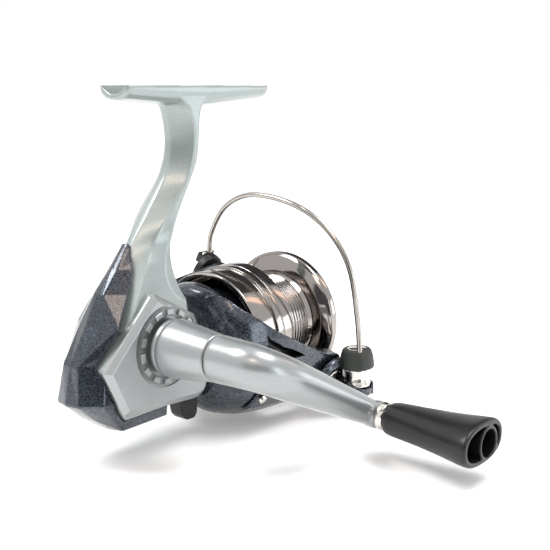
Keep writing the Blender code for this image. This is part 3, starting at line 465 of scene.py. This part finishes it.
DRIVE = (0, HANDLE_Y / MM, HANDLE_Z / MM)
SPOOL_AT = (0, 0, SPOOL_Z / MM)


GEAR_POCKET = 11.4        # radius of the drive gear's pocket
PAST_SIDE = 15            # a cut this far out in x is clear of the casting
SCREW_HOLE = 1.45         # radius in the casting
PIN_HOLE = 2.12           # radius, for the bail's two pivot screws
KNOB_HOLE = 2.3           # radius, for the knob's pin


def screw_place(number):
    """y and z in metres of a housing screw's axis."""
    low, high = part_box(f"housing_screw_{number}")
    return (low[1] + high[1]) / 2, (low[2] + high[2]) / 2


def foot_ring(y):
    reach = y / FOOT_END
    corner = max(0.0, abs(y) - (FOOT_END - 1.6)) / 1.6
    half = FOOT_HALF - 1.4 * (1 - math.sqrt(max(0.0, 1 - corner ** 2)))
    edge = TROUGH - 0.6 * reach
    low = -3.6 + (2.8 if y < 0 else 2.0) * abs(reach) + 0.4 * corner
    side = low + (edge - low) * 0.55
    top = [(x, edge * (x / half) ** 2 if abs(x) > 1.8 else 0.0)
           for x in [half * (i / 8 - 1) for i in range(17)]]
    belly = [(half, side), (half * 0.93, low + (side - low) * 0.4), (half * 0.7, low - 0.4),
             (half * 0.25, low - 1.1)]
    return [(x, y, z) for x, z in top + belly + [(-x, z) for x, z in reversed(belly)]]


def stem_ring(z):
    ridge, corner, rear, front, half = between(STEM, z)
    outline = [(-1.3, ridge), (1.3, ridge), (rear, corner), (half, front - 1.0), (half - 1.0, front),
               (1.0 - half, front), (-half, front - 1.0), (-rear, corner)]
    return [(x, y, z) for x, y in rounded(outline, 0.45)]


def casting():
    stem = solid("stem", loft([stem_ring(z) for z in steps_between(-0.6, -72.0, 0.9)]))
    for side in (-1, 1):
        rings = []
        for z in steps_between(-42.0, -65.2, 1.2):
            edge = between(STEM_CREASE, z)[0]
            half = between(STEM, z)[4] + 0.02
            ring = [(half, edge), (half - 4.6, -7.0), (half + 6, -7.0), (half + 6, edge)]
            rings.append([(side * x, y, z) for x, y in ring])
        cut(stem, loft(rings))
    profile = [(-12.0, 3.3), (-11.6, 2.8), (-9.6, 0.5), (-8.9, 0.0), (11.3, 0.0), (11.6, 0.3)]
    housing = solid("housing", loft([[(x, y, z) for y, z in inset(HOUSING, d)] for x, d in profile]))
    for part in (housing, stem):
        cut(part, prism(GEAR_ROOM, -8.3, PAST_SIDE, "X"), rod(GEAR_POCKET, 1.0, PAST_SIDE, "X", DRIVE))
    cut(housing, rod(7.62, -11.6, -8.0, "X", DRIVE), rod(4.3, -14, -8, "X", DRIVE),
        block((-5.5, -15.4, -101), (5.5, -12.2, -93)))
    for number in (1, 2, 3):
        y, z = screw_place(number)
        cut(housing, rod(SCREW_HOLE, -14, -7, "X", (0, y / MM, z / MM), 24))
    neck = turned(rounded([(6.2, -12.0), (10.6, -12.0), (10.6, -6.8), (10.0, -6.2), (6.2, -6.2)], 0.3),
                  "Y", SPOOL_AT)
    foot = solid("foot", loft([foot_ring(y) for y in steps_between(-FOOT_END, FOOT_END, 0.8)]), neck)
    parts = [stem, housing, foot]
    whole = bmesh.new()
    for part in parts:
        whole.from_mesh(part.data)
        bpy.data.objects.remove(part, do_unlink=True)
    mesh = bpy.data.meshes.new("casting")
    whole.to_mesh(mesh)
    whole.free()
    body = bpy.data.objects.new("casting", mesh)
    bpy.context.scene.collection.objects.link(body)
    cast(body, 0.36)
    cut(body, rod(6.2, -13, -5, "Y", SPOOL_AT))
    show(body, PEARL, "frame", "body_casting", angle=60)


def plate():
    """Side plate: flat pale face, broad bevels, and a groove round the handle's neck."""
    outline = ([(-30.7, -61.0), (-52.1, -82.1), (-44.8, -97.5), (-14.0, -99.7)]
               + arc((-12.5, -94.6), 5.0, -80, 0, 9) + [(-7.6, -82.0), (-12.9, -71.0)])
    levels = [(12.0, 0.1), (12.1, 0.0), (12.45, 0.0), (12.55, 0.08), (13.9, 1.88), (14.0, 2.1)]
    body = solid("plate", loft([[(x, y, z) for y, z in inset(outline, d)] for x, d in levels]))
    groove = turned([(12.8, 13.3), (13.3, 13.3), (13.3, 16), (12.8, 16)], "X", DRIVE)
    bore = turned([(0, 8), (7.7, 8), (7.7, 12.2), (6.4, 12.2), (6.4, 13.1), (9.75, 13.1), (9.75, 16),
                   (0, 16)], "X", DRIVE)
    cut(body, bore, groove)
    show(body, SILVER, "frame", "side_plate", angle=20)


def dial():
    """Raised pads on a ring round the handle's neck."""
    shapes = [turned(rounded([(9.9, 14.22), (12.5, 14.22), (12.5, 14.36), (9.9, 14.36)], 0.05), "X", DRIVE)]
    pads = 14
    for i in range(pads):
        middle = 360 * i / pads + 8
        outline = (arc(DRIVE[1:], 10.35, middle - 7.4, middle + 7.4, 5)
                   + arc(DRIVE[1:], 12.1, middle + 6.9, middle - 6.9, 5))
        shapes.append(loft([[(x, y, z) for y, z in inset(outline, d)]
                            for x, d in ((14.3, 0.0), (14.9, 0.0), (15.0, 0.1))]))
    show(solid("dial", *shapes[1:]), SILVER, "frame", "dial_ring", angle=30)
    show(solid("dial_base", shapes[0]), DIAL_BASE, "frame", angle=30)


COVER_STATIONS = (        # z, centre y, crease x and y, edge x and y
    (-46.6, -30.9, 1.2, -30.6, 2.4, -29.0), (-54.0, -36.6, 1.8, -36.0, 6.0, -32.2),
    (-61.0, -42.6, 2.2, -42.2, 7.8, -37.0), (-70.0, -47.8, 4.7, -46.2, 9.7, -42.9),
    (-81.0, -54.7, 3.4, -54.4, 9.4, -48.6), (-93.2, -57.2, 5.0, -56.2, 11.2, -51.4),
    (-99.0, -50.6, 5.0, -50.0, 10.6, -46.6), (-103.6, -44.4, 4.6, -44.2, 9.4, -42.6))
COVER_FRONT = ((-10.0, -44.0), (-28.7, -44.0), (-32.5, -54.0), (-36.6, -61.0), (-42.3, -70.0),
               (-50.6, -81.5), (-50.5, -82.6), (-48.6, -89.2), (-45.3, -97.0), (-43.3, -99.9),
               (-24.0, -99.9), (-23.0, -106.0), (-10.0, -106.0))


def cover_solid(stations, wall):
    rings = []
    for z, back, crease_x, crease_y, edge_x, edge_y in stations:
        half, front = edge_x - wall, -18.0 + wall
        rings.append([(-half, edge_y + wall, z), (-crease_x, crease_y + wall, z), (0, back + wall, z),
                      (crease_x, crease_y + wall, z), (half, edge_y + wall, z), (half, front, z),
                      (-half, front, z)])
    return loft(rings)


def cover():
    wall = 1.5
    top, bottom = COVER_STATIONS[0], COVER_STATIONS[-1]
    above = [2 * a - b for a, b in zip(top, COVER_STATIONS[1])]
    above[2], above[4] = top[2], top[4]
    inside = [above, *COVER_STATIONS[:-1], (bottom[0] + wall, *bottom[1:])]
    shell = solid("cover", cover_solid(COVER_STATIONS, 0))
    cut(shell, prism(COVER_FRONT, -15, 15, "X"), cover_solid(inside, wall))
    show(cast(shell, 0.3, 3), COVER, "frame", "rear_cover")


# ---------------------------------------------------------------- rotor and bail

ARM_SHAPE = (             # y, outer radius, inner radius, degrees below and above the middle, far arm's top
    (-4.6, 17.4, 14.0, 62, 92, 40), (-2.2, 22.4, 17.2, 60, 88, 36), (1.0, 25.2, 19.4, 53, 66, 26),
    (5.6, 27.4, 24.6, 45, 52, 16), (9.0, 28.6, 26.0, 41, 44, 10), (13.0, 29.5, 26.1, 36.5, 38, 7),
    (18.0, 30.4, 26.2, 31.5, 32, 6), (24.0, 31.2, 26.4, 25.5, 25.5, 6), (30.0, 31.9, 26.6, 20, 20, 6),
    (35.0, 32.4, 26.8, 16.2, 16.2, 7), (38.4, 32.5, 27.0, 14.6, 14.6, 8), (41.2, 32.5, 27.0, 13.6, 13.6, 8),
    (43.6, 32.1, 27.0, 10.8, 10.8, 7), (45.4, 31.6, 27.0, 7.0, 7.0, 5), (46.3, 31.1, 27.0, 3.4, 3.4, 3))


def arm(turn):
    columns = 28
    rings = []
    for y in steps_between(-4.6, 46.3, 0.9):
        outer, inner, below, above, far_top = between(ARM_SHAPE, y)
        start, end = (-below, above) if turn == 0 else (-far_top, below)
        angles = [math.radians(turn + start + (end - start) * i / columns) for i in range(columns + 1)]
        rings.append([(outer * math.cos(a), y, outer * math.sin(a)) for a in angles]
                     + [(inner * math.cos(a), y, inner * math.sin(a)) for a in reversed(angles)])
    return loft(rings)


def wedge(inner, outer):
    """The long three-cornered recess below the upper rail of the handle-side arm."""
    outline = ((40.0, 6.6), (31.0, 6.6), (25.5, 8.8), (19.8, 15.5), (19.4, 23.0), (23.8, 19.0),
               (29.0, 12.8), (36.0, 7.8))
    return loft([[(radius * math.cos(math.radians(a)), y, radius * math.sin(math.radians(a)))
                  for a, y in outline] for radius in (inner, outer)])


def rotor():
    core = [(3.42, -5.2), (15.5, -5.2), (18.0, -4.6), (19.9, -3.2), (20.9, -1.4), (21.2, 0.4), (21.0, 1.6),
            (17.4, 3.0), (17.4, 17.0), (15.6, 17.0), (15.6, -1.6), (7.0, -1.6), (7.0, 1.0), (3.42, 1.0)]
    body = solid("rotor_body", turned(core, "Y"), arm(0), arm(180))
    cast(body, 0.42)
    window = rounded([(11.0, 3.6), (11.0, 9.0), (18.0, 9.6), (30.0, 5.6), (31.5, 3.6)], 0.6)
    shape = loft([[(x, y, z) for y, z in window] for x in (28.3, 40)])
    shape.transform(Matrix.Rotation(math.pi, 4, "Y"))
    pivot = (0, PIVOT_Y / MM, 0)
    cut(body, shape, rod(PIN_HOLE, 24, 36, "X", pivot), rod(PIN_HOLE, -36, -24, "X", pivot))
    cut(body, block((26.9, 11.5, -4.7), (40, 32.5, -1.5)), wedge(26.9, 36))
    # A thin black sheet at the bottom of the arm's recess: painted shade, standing in for the dark inside of
    # the recess.
    show(place(solid("window_painted_shade", wedge(26.95, 27.3)), ROTOR_FRAME), BLACK, "rotor")
    show(place(body, ROTOR_FRAME), FLAKE, "rotor", "rotor", angle=50)


def arm_cover(node, turn):
    rings = []
    for y in steps_between(5.6, 30.0, 0.8):
        outer, _, half, _, far_top = between(ARM_SHAPE, y)
        low, high = (-0.66 * half, min(4.6, 0.2 * half)) if turn == 0 else (-far_top + 2, 0.5 * half)
        angles = [math.radians(turn + low + (high - low) * i / 14) for i in range(15)]
        crown = [0.35 + 1.15 * min(1, 4 * min(i, 14 - i) / 14) for i in range(15)]
        rings.append([((outer + 0.35) * math.cos(a), y, (outer + 0.35) * math.sin(a)) for a in angles]
                     + [((outer + c) * math.cos(a), y, (outer + c) * math.sin(a))
                        for a, c in zip(reversed(angles), crown)])
    shell = solid(node + "_skin", loft(rings))
    show(place(cast(shell, 0.28, 3), ROTOR_FRAME), FLAKE, "rotor", node)


BAIL_FRAME = ROTOR_FRAME @ Matrix.Translation((0, PIVOT_Y, 0))
SEAT = Vector((41.9, 7.6, -0.4))
ROLLER_LINE = Vector((-0.5, 0, 0.866)).normalized()
ROLLER_AIM = Vector((0, 0, 1)).rotation_difference(ROLLER_LINE).to_matrix().to_4x4()
ROLLER_TURN = Matrix.Translation(SEAT * MM) @ ROLLER_AIM
WIRE = ((-36.5, 0.2, 4.4), (-36.9, 0.3, 7.0), (-39.3, 0.7, 14.0), (-38.2, 1.1, 26.0), (-31.0, 1.6, 36.2),
        (-18.0, 2.2, 42.8), (-4.0, 2.8, 45.6), (9.0, 3.4, 43.8), (20.6, 4.0, 37.0), (31.3, 4.5, 23.4),
        (38.4, 4.9, 12.0), (40.2, 5.0, 8.8))


def roller_piece(name, profile, finish, body, node, corner=0.25):
    thing = solid(name, turned(rounded(profile, corner, 3, profile[0][0] != 0), "Z", segments=96))
    show(place(thing, BAIL_FRAME @ ROLLER_TURN), finish, body, node, angle=40)


def lever():
    hub = turned([(0, 32.9), (7.8, 32.9), (7.8, 34.6), (6.6, 35.9), (0, 35.9)], "X", segments=96)
    half_hub = [p for x in (33.1, 35.5) for p in disc_points((x, 0, 0), (1, 0, 0), 6.6, 48) if p.z < 1.0]
    seat = [p for t, r in ((-3.2, 4.9), (-2.6, 5.4), (-0.4, 5.4))
            for p in disc_points(SEAT + ROLLER_LINE * t, ROLLER_LINE, r, 40)]
    lip = [p for t in (-3.0, 1.1) for p in disc_points(SEAT + ROLLER_LINE * t, ROLLER_LINE, 5.9, 48)
           if (p - SEAT).dot(Vector((0, 1, 0))) > 1.5]
    body = solid("lever", hub, hull(half_hub + seat), hull(lip))
    cast(body, 0.3, 3)
    clearance = turned([(0, -0.3), (5.25, -0.3), (5.25, 16), (0, 16)], "Z")
    clearance.transform(Matrix.Translation(SEAT) @ ROLLER_AIM)
    cone = turned([(0, 34.2), (4.2, 34.2), (4.7, 36.2), (0, 36.2)], "X")
    cut(body, clearance, cone, rod(PIN_HOLE, 30, 45, "X"),
        hull([p for t in (-6, 2) for p in disc_points(SEAT + ROLLER_LINE * t, ROLLER_LINE, 1.65, 24)]))
    show(place(body, BAIL_FRAME), FLAKE, "bail", "bail_lever", angle=50)


def wire():
    path = smooth_path(WIRE, 10)
    show(place(solid("wire", swept(path, [(1.0, 1.0)] * len(path), 20)), BAIL_FRAME), WIRE_METAL,
         "bail", "bail_wire", angle=50)


def holder():
    body = solid("holder", turned([(0, -35.9), (6.4, -35.9), (6.4, -32.9), (0, -32.9)], "X", segments=96),
                 block((-39.2, -3.1, -1.5), (-32.9, 3.1, 5.4)))
    cast(body, 0.3, 3)
    cut(body, rod(1.55, 4.0, 8, "Z", (-36.7, 0.25, 0)),
        rod(PIN_HOLE, -34.6, -20, "X"), rod(3.5, -45, -34.4, "X"))
    show(place(body, BAIL_FRAME), BLACK, "bail", "bail_holder", angle=50)


def screw_head(name, node, body, finish, radius, low, high, matrix):
    """A domed screw head with a cross slot; heights along +X of the frame it is placed in."""
    rise = high - low
    dome = [(radius * math.cos(a), low + rise * (0.5 + 0.5 * math.sin(a)))
            for a in [math.radians(d) for d in range(10, 90, 10)]]
    head = solid(name, turned([(0, low), (radius, low), *dome, (0, high)], "X", segments=64))
    reach, half = radius * 0.62, radius * 0.11
    for turn in (20, 110):
        slot = block((high - 0.35 * rise, -reach, -half), (high + 1, reach, half))
        slot.transform(Matrix.Rotation(math.radians(turn), 4, "X"))
        cut(head, slot)
    show(place(head, matrix), finish, body, node, angle=40)


# ---------------------------------------------------------------- spool

def lathe_piece(name, profile, axis, at, finish, body, *replaced, corner=0.2, segments=TURNS):
    shape = turned(rounded(profile, corner, 3, profile[0][0] != 0), axis, at, segments)
    show(solid(name, shape), finish, body, *replaced, angle=32)


def spool():
    skirt = [(21.9, 7.0), (23.3, 7.0), (23.6, 7.5), (23.6, 15.9), (23.45, 16.1), (23.45, 16.5), (24.2, 16.8),
             (24.25, 19.6), (24.1, 19.7), (24.1, 20.0), (24.25, 20.1), (24.3, 25.1), (24.0, 25.6),
             (9.2, 25.6), (9.2, 23.6), (21.9, 23.6)]
    lathe_piece("skirt", skirt, "Y", SPOOL_AT, SPOOL, "spool", "spool_skirt", corner=0.12, segments=192)
    grooves = []
    for i in range(8):
        y = 29.2 + i * 1.5
        grooves += [(17.5, y), (17.15, y + 0.25), (17.15, y + 0.65), (17.5, y + 0.9)]
    arbor = ([(6.2, 20.4), (8.9, 20.4), (8.9, 25.9), (18.4, 25.9), (17.5, 27.2)] + grooves
             + [(17.5, 41.6), (18.2, 43.3), (12.9, 43.3), (12.9, 33.4), (6.2, 33.4)])
    lathe_piece("arbor", arbor, "Y", SPOOL_AT, SPOOL, "spool", "spool_arbor", corner=0.1, segments=192)
    lip = [(14.3, 43.6), (18.5, 43.6), (21.4, 44.4), (23.9, 45.7), (24.8, 46.5), (25.0, 47.2), (25.0, 48.9),
           (24.6, 50.0), (23.6, 50.7), (21.4, 51.2), (20.3, 50.6), (19.0, 48.8), (14.3, 48.8)]
    lathe_piece("lip", lip, "Y", SPOOL_AT, SPOOL, "spool", "spool_lip", corner=0.35, segments=192)


def drag():
    knob_profile = [(0, 58.0), (10.6, 57.4), (12.8, 56.2), (13.4, 54.0), (13.4, 49.6), (12.4, 48.8),
                    (11.8, 42.4), (3.2, 42.4), (3.2, 45.0), (1.87, 45.0), (1.87, 55.9), (0, 55.9)]
    body = solid("drag_dial", turned(rounded(knob_profile, 0.6, 4, False), "Y", segments=160))
    for i in range(24):
        groove = rod(0.5, 49.2, 55.8, "Y", (13.62, 0, 0), 12)
        groove.transform(Matrix.Rotation(2 * math.pi * i / 24, 4, "Y"))
        cut(body, groove)
    wing = solid("drag_wing", prism(rounded([(-2.0, -12.4), (2.0, -12.4), (2.4, 12.4), (-2.4, 12.4)], 1.0),
                                    57.0, 61.4, "Y"))
    place(body, Matrix.Translation((0, 0, SPOOL_Z)))
    place(wing, Matrix.Translation((0, 0, SPOOL_Z)))
    show(body, BLACK, "drag", "drag_knob", angle=32)
    show(cast(wing, 0.25), BLACK, "drag")


# ---------------------------------------------------------------- handle

def handle():
    shank = [(0, 14.7), (7.4, 14.7), (8.7, 15.2), (9.25, 16.0), (9.25, 16.7), (8.95, 17.4),
             (9.3, 18.0), (9.5, 18.8), (9.42, 19.8), (7.42, 35.3), (7.1, 35.7), (0, 35.7)]
    lathe_piece("shank", shank, "X", DRIVE, SILVER, "handle", "handle_shank", corner=0.5, segments=160)
    end_y, end_z = (KNOB_Y - HANDLE_Y) / MM, (KNOB_Z - HANDLE_Z) / MM
    start, bend, end = Vector((36.0, 0, 0)), Vector((53.5, 0, 0)), Vector((61.6, end_y, end_z))
    middle = start + (bend - start) * 0.5
    knee = bend + (end - bend) * 0.24
    path, sizes = [], []
    for i in range(9):
        t = i / 8
        radius = 7.4 - 0.27 * t - (0.3 if i == 0 else 0)      # the first ring is the chamfer
        path.append(start + (middle - start) * t)
        sizes.append((radius, radius))
    for i in range(1, 25):
        t = i / 24
        path.append(middle * (1 - t) ** 2 + bend * 2 * t * (1 - t) + knee * t * t)
        sizes.append((7.13 - 1.1 * t, 7.13 - 0.5 * t))
    for i in range(1, 25):
        t = i / 24
        path.append(knee + (end - knee) * t)
        sizes.append((6.03 - 2.3 * t, 6.63 - 2.2 * t))
    eye = [(0, 58.0), (3.6, 58.0), (4.6, 59.4), (4.7, 64.6), (4.2, 65.4), (0, 65.4)]
    eye = turned(rounded(eye, 0.4, 3, False), "X", (0, end_y, end_z))
    body = solid("arm", swept(path, sizes, 48, square=0.94), eye)
    cast(body, 0.4)
    cut(body, rod(KNOB_HOLE, 59.4, 70, "X", (0, end_y, end_z)))
    show(place(body, Matrix.Translation((0, HANDLE_Y, HANDLE_Z))), SILVER, "handle", "handle_arm", angle=50)
    collar = [(2.3, 65.7), (4.6, 65.7), (4.8, 66.4), (4.4, 68.1), (2.3, 68.1)]
    lathe_piece("collar", collar, "X", (0, KNOB_Y / MM, KNOB_Z / MM), NICKEL, "handle", "knob_collar")
    cap = [(0, -18.4), (5.6, -18.4), (6.6, -17.9), (7.6, -16.6), (7.8, -12.6), (3.4, -12.6),
           (3.4, -12.9), (0, -12.9)]
    body = solid("cap", turned(rounded(cap, 0.3, 3, False), "X", DRIVE, 160))
    for i in range(30):
        groove = rod(0.28, -17.0, -12.0, "X", (0, 7.85, 0), 10)
        groove.transform(Matrix.Translation(DRIVE) @ Matrix.Rotation(2 * math.pi * i / 30, 4, "X"))
        cut(body, groove)
    show(body, SILVER, "handle", "handle_screw_cap", angle=32)


def knob_ring(x, half_y, half_z, count=72):
    """A flat oval that leans back and up towards the knob's end."""
    ring = []
    lean = (x - 68.5) / 35.5
    for i in range(count):
        c, s = math.cos(2 * math.pi * i / count), math.sin(2 * math.pi * i / count)
        ring.append((x, half_y * math.copysign(abs(c) ** 0.82, c) - 3.2 * lean,
                     half_z * math.copysign(abs(s) ** 0.82, s) + lean))
    return ring


def knob():
    stations = ((68.5, 4.6, 4.0), (69.2, 5.5, 4.8), (71.5, 6.1, 5.2), (78.0, 7.2, 5.4), (86.0, 8.8, 5.6),
                (94.0, 10.6, 6.0), (100.0, 11.9, 6.5), (103.2, 12.1, 6.7), (104.0, 11.5, 6.2))
    grip = solid("grip", loft([knob_ring(x, *between(stations, x)) for x in steps_between(68.5, 104.0, 0.6)]))
    recess = solid("recess", loft([knob_ring(91.0, 8.2, 4.0), knob_ring(108.0, 10.8, 5.3)]))
    cut(recess, rod(5.5, 90, 110, "X"))
    cut_by(grip, recess)
    cut(grip, rod(KNOB_HOLE, 60, 89.0, "X"), rod(4.4, 88.5, 110, "X"))
    cast(grip, 0.3, 3)
    show(place(grip, Matrix.Translation((0, KNOB_Y, KNOB_Z))), KNOB, "knob", "knob")


def small_pieces():
    for node, side, head in (("bail_pivot_screw", 1, 3.6), ("bail_holder_screw", -1, 3.0)):
        turn = Matrix.Rotation(0 if side > 0 else math.pi, 4, "Y")
        screw_head(node + "_head", node, "rotor", NICKEL, head, 34.72, 36.0, BAIL_FRAME @ turn)
    for i in (1, 2, 3):
        turn = Matrix.Translation((0, *screw_place(i))) @ Matrix.Rotation(math.pi, 4, "Y")
        screw_head(f"housing_screw_head_{i}", f"housing_screw_{i}", "frame", STEEL, 2.2, 12.2, 13.4, turn)
    roller_piece("roller", [(2.52, 0.2), (4.9, 0.2), (5.0, 0.9), (4.3, 2.4), (4.1, 3.6), (4.5, 5.2),
                            (4.9, 6.1), (4.8, 6.6), (2.52, 6.6)], NICKEL, "roller", "line_roller", 0.5)
    roller_piece("roller_hood", [(0, 6.9), (6.2, 6.9), (6.3, 8.4), (5.9, 11.4), (5.2, 13.5), (4.4, 14.0),
                                 (3.8, 14.0), (3.7, 13.5), (0, 13.5)], RUBBER, "bail", "roller_cap", 0.4)
    disc = [(0, 13.55), (3.5, 13.55), (3.5, 13.9), (3.3, 14.05), (0, 14.1)]
    disc = solid("roller_disc", turned(disc, "Z", segments=64))
    show(place(disc, BAIL_FRAME @ ROLLER_TURN), NICKEL, "bail", angle=40)
    roller_piece("roller_rivet", [(0, -4.6), (2.6, -4.6), (2.9, -4.2), (2.9, -3.5), (1.5, -3.5), (1.5, 6.6),
                                  (0, 6.6)], STEEL, "bail", "roller_screw", 0.2)


def tab():
    outline = rounded([(-13.6, -101.0), (-14.0, -104.0), (-13.2, -107.6), (-11.4, -109.6), (-7.6, -109.8),
                       (-6.2, -108.0), (-6.0, -103.6), (-7.0, -101.0)], 0.8)
    body = solid("switch", prism(outline, 0.4, 6.4, "X"), block((-1.2, -15.0, -102.5), (2.8, -12.6, -94.3)),
                 rod(1.9, -15.0, -12.6, "Y", (0, 0, -94.3)))
    show(cast(body, 0.25), BLACK, "anti_reverse", "anti_reverse_lever")


for make in (casting, plate, dial, cover, rotor, lever, wire, holder, spool, drag, handle, knob,
             small_pieces, tab):
    make()
arm_cover("arm_cover_handle_side", 0)
arm_cover("arm_cover_far_side", 180)

for name, node in nodes.items():
    if not node.hide_render:
        node.data.shade_smooth()
        node.data.set_sharp_from_angle(angle=math.radians(30))


# ---------------------------------------------------------------- stage

def lamp(name, at, aim, width, height, power):
    data = bpy.data.lights.new(name, "AREA")
    data.shape = "RECTANGLE"
    data.size, data.size_y = width, height
    data.energy = power
    thing = bpy.data.objects.new(name, data)
    bpy.context.scene.collection.objects.link(thing)
    thing.location = at
    thing.rotation_euler = (Vector(aim) - Vector(at)).to_track_quat("-Z", "Y").to_euler()


def card(name, at, aim, width, height, color, glow=0.0):
    """A studio card or lit panel that the object mirrors and the camera doesn't see."""
    mesh = bpy.data.meshes.new(name)
    w, h = width / 2, height / 2
    mesh.from_pydata([(-w, -h, 0), (w, -h, 0), (w, h, 0), (-w, h, 0)], [], [(0, 1, 2, 3)])
    made, _, principled = shader(name + "_finish", color, 0.0, 0.9)
    if glow:
        principled.inputs["Emission Color"].default_value = (*color, 1)
        principled.inputs["Emission Strength"].default_value = glow
    mesh.materials.append(made)
    thing = bpy.data.objects.new(name, mesh)
    bpy.context.scene.collection.objects.link(thing)
    thing.location = at
    thing.rotation_euler = (Vector(aim) - Vector(at)).to_track_quat("-Z", "Y").to_euler()
    thing.visible_camera = False
    thing.visible_shadow = False


def floor():
    mesh = bpy.data.meshes.new("floor")
    half = 6.0
    corners = [(-half, -half, FLOOR_Z), (half, -half, FLOOR_Z), (half, half, FLOOR_Z), (-half, half, FLOOR_Z)]
    mesh.from_pydata(corners, [], [(0, 1, 2, 3)])
    made, _, principled = shader("floor_paint", (0.95, 0.95, 0.95), 0.0, 0.9)
    principled.inputs["Emission Color"].default_value = (1, 1, 1, 1)
    principled.inputs["Emission Strength"].default_value = 0.12
    mesh.materials.append(made)
    thing = bpy.data.objects.new("floor", mesh)
    bpy.context.scene.collection.objects.link(thing)


def world_light():
    world = bpy.data.worlds.new("studio")
    bpy.context.scene.world = world
    world.use_nodes = True
    back = world.node_tree.nodes["Background"]
    back.inputs["Color"].default_value = (1.0, 1.0, 1.0, 1)
    back.inputs["Strength"].default_value = 1.0


CAMERA_PLACE, CAMERA_LENS = (0.23025, -0.23344, 0.00658), 63.6
CAMERA_TURN = (39.72, 11.85, -0.39)       # yaw, downward pitch and roll in degrees


def camera():
    """The view from the handle side, behind the reel and a little above it."""
    yaw, pitch, roll = [math.radians(d) for d in CAMERA_TURN]
    data = bpy.data.cameras.new("view")
    data.sensor_width = 36.0
    data.lens = CAMERA_LENS
    data.clip_start = 0.01
    thing = bpy.data.objects.new("view", data)
    bpy.context.scene.collection.objects.link(thing)
    ahead = Vector((-math.sin(yaw) * math.cos(pitch), math.cos(yaw) * math.cos(pitch), -math.sin(pitch)))
    turn = ahead.to_track_quat("-Z", "Y").to_matrix().to_4x4() @ Matrix.Rotation(roll, 4, "Z")
    thing.matrix_world = Matrix.Translation(CAMERA_PLACE) @ turn
    bpy.context.scene.camera = thing


floor()
world_light()
camera()
bpy.context.scene.view_settings.view_transform = "Standard"
CENTRE = (0.03, 0.0, -0.06)
lamp("key", (-0.25, -0.30, 0.60), CENTRE, 0.35, 0.35, 5.0)
lamp("top", (0.30, 0.20, 0.70), CENTRE, 0.4, 0.3, 4.0)
card("dark_behind_camera", (0.75, -0.85, 0.05), CENTRE, 1.5, 0.9, (0.10, 0.10, 0.11))
card("dark_top", (0.05, -0.45, 0.75), CENTRE, 0.9, 0.35, (0.16, 0.15, 0.14))
card("peach_box", (0.36, -0.50, 0.56), CENTRE, 0.22, 0.20, (1.0, 0.80, 0.66), 4.5)
card("side_panel", (0.95, -0.05, 0.0), CENTRE, 0.3, 0.6, (0.92, 0.97, 1.0), 2.2)
card("spool_dark", (-0.35, 0.95, 0.64), CENTRE, 1.1, 0.85, (0.05, 0.05, 0.055))
card("spool_light", (0.75, 0.85, -0.02), CENTRE, 0.40, 0.42, (0.93, 0.97, 1.0), 2.2)
card("spool_peach", (0.42, 0.95, 0.62), CENTRE, 0.14, 0.40, (1.0, 0.74, 0.60), 1.6)
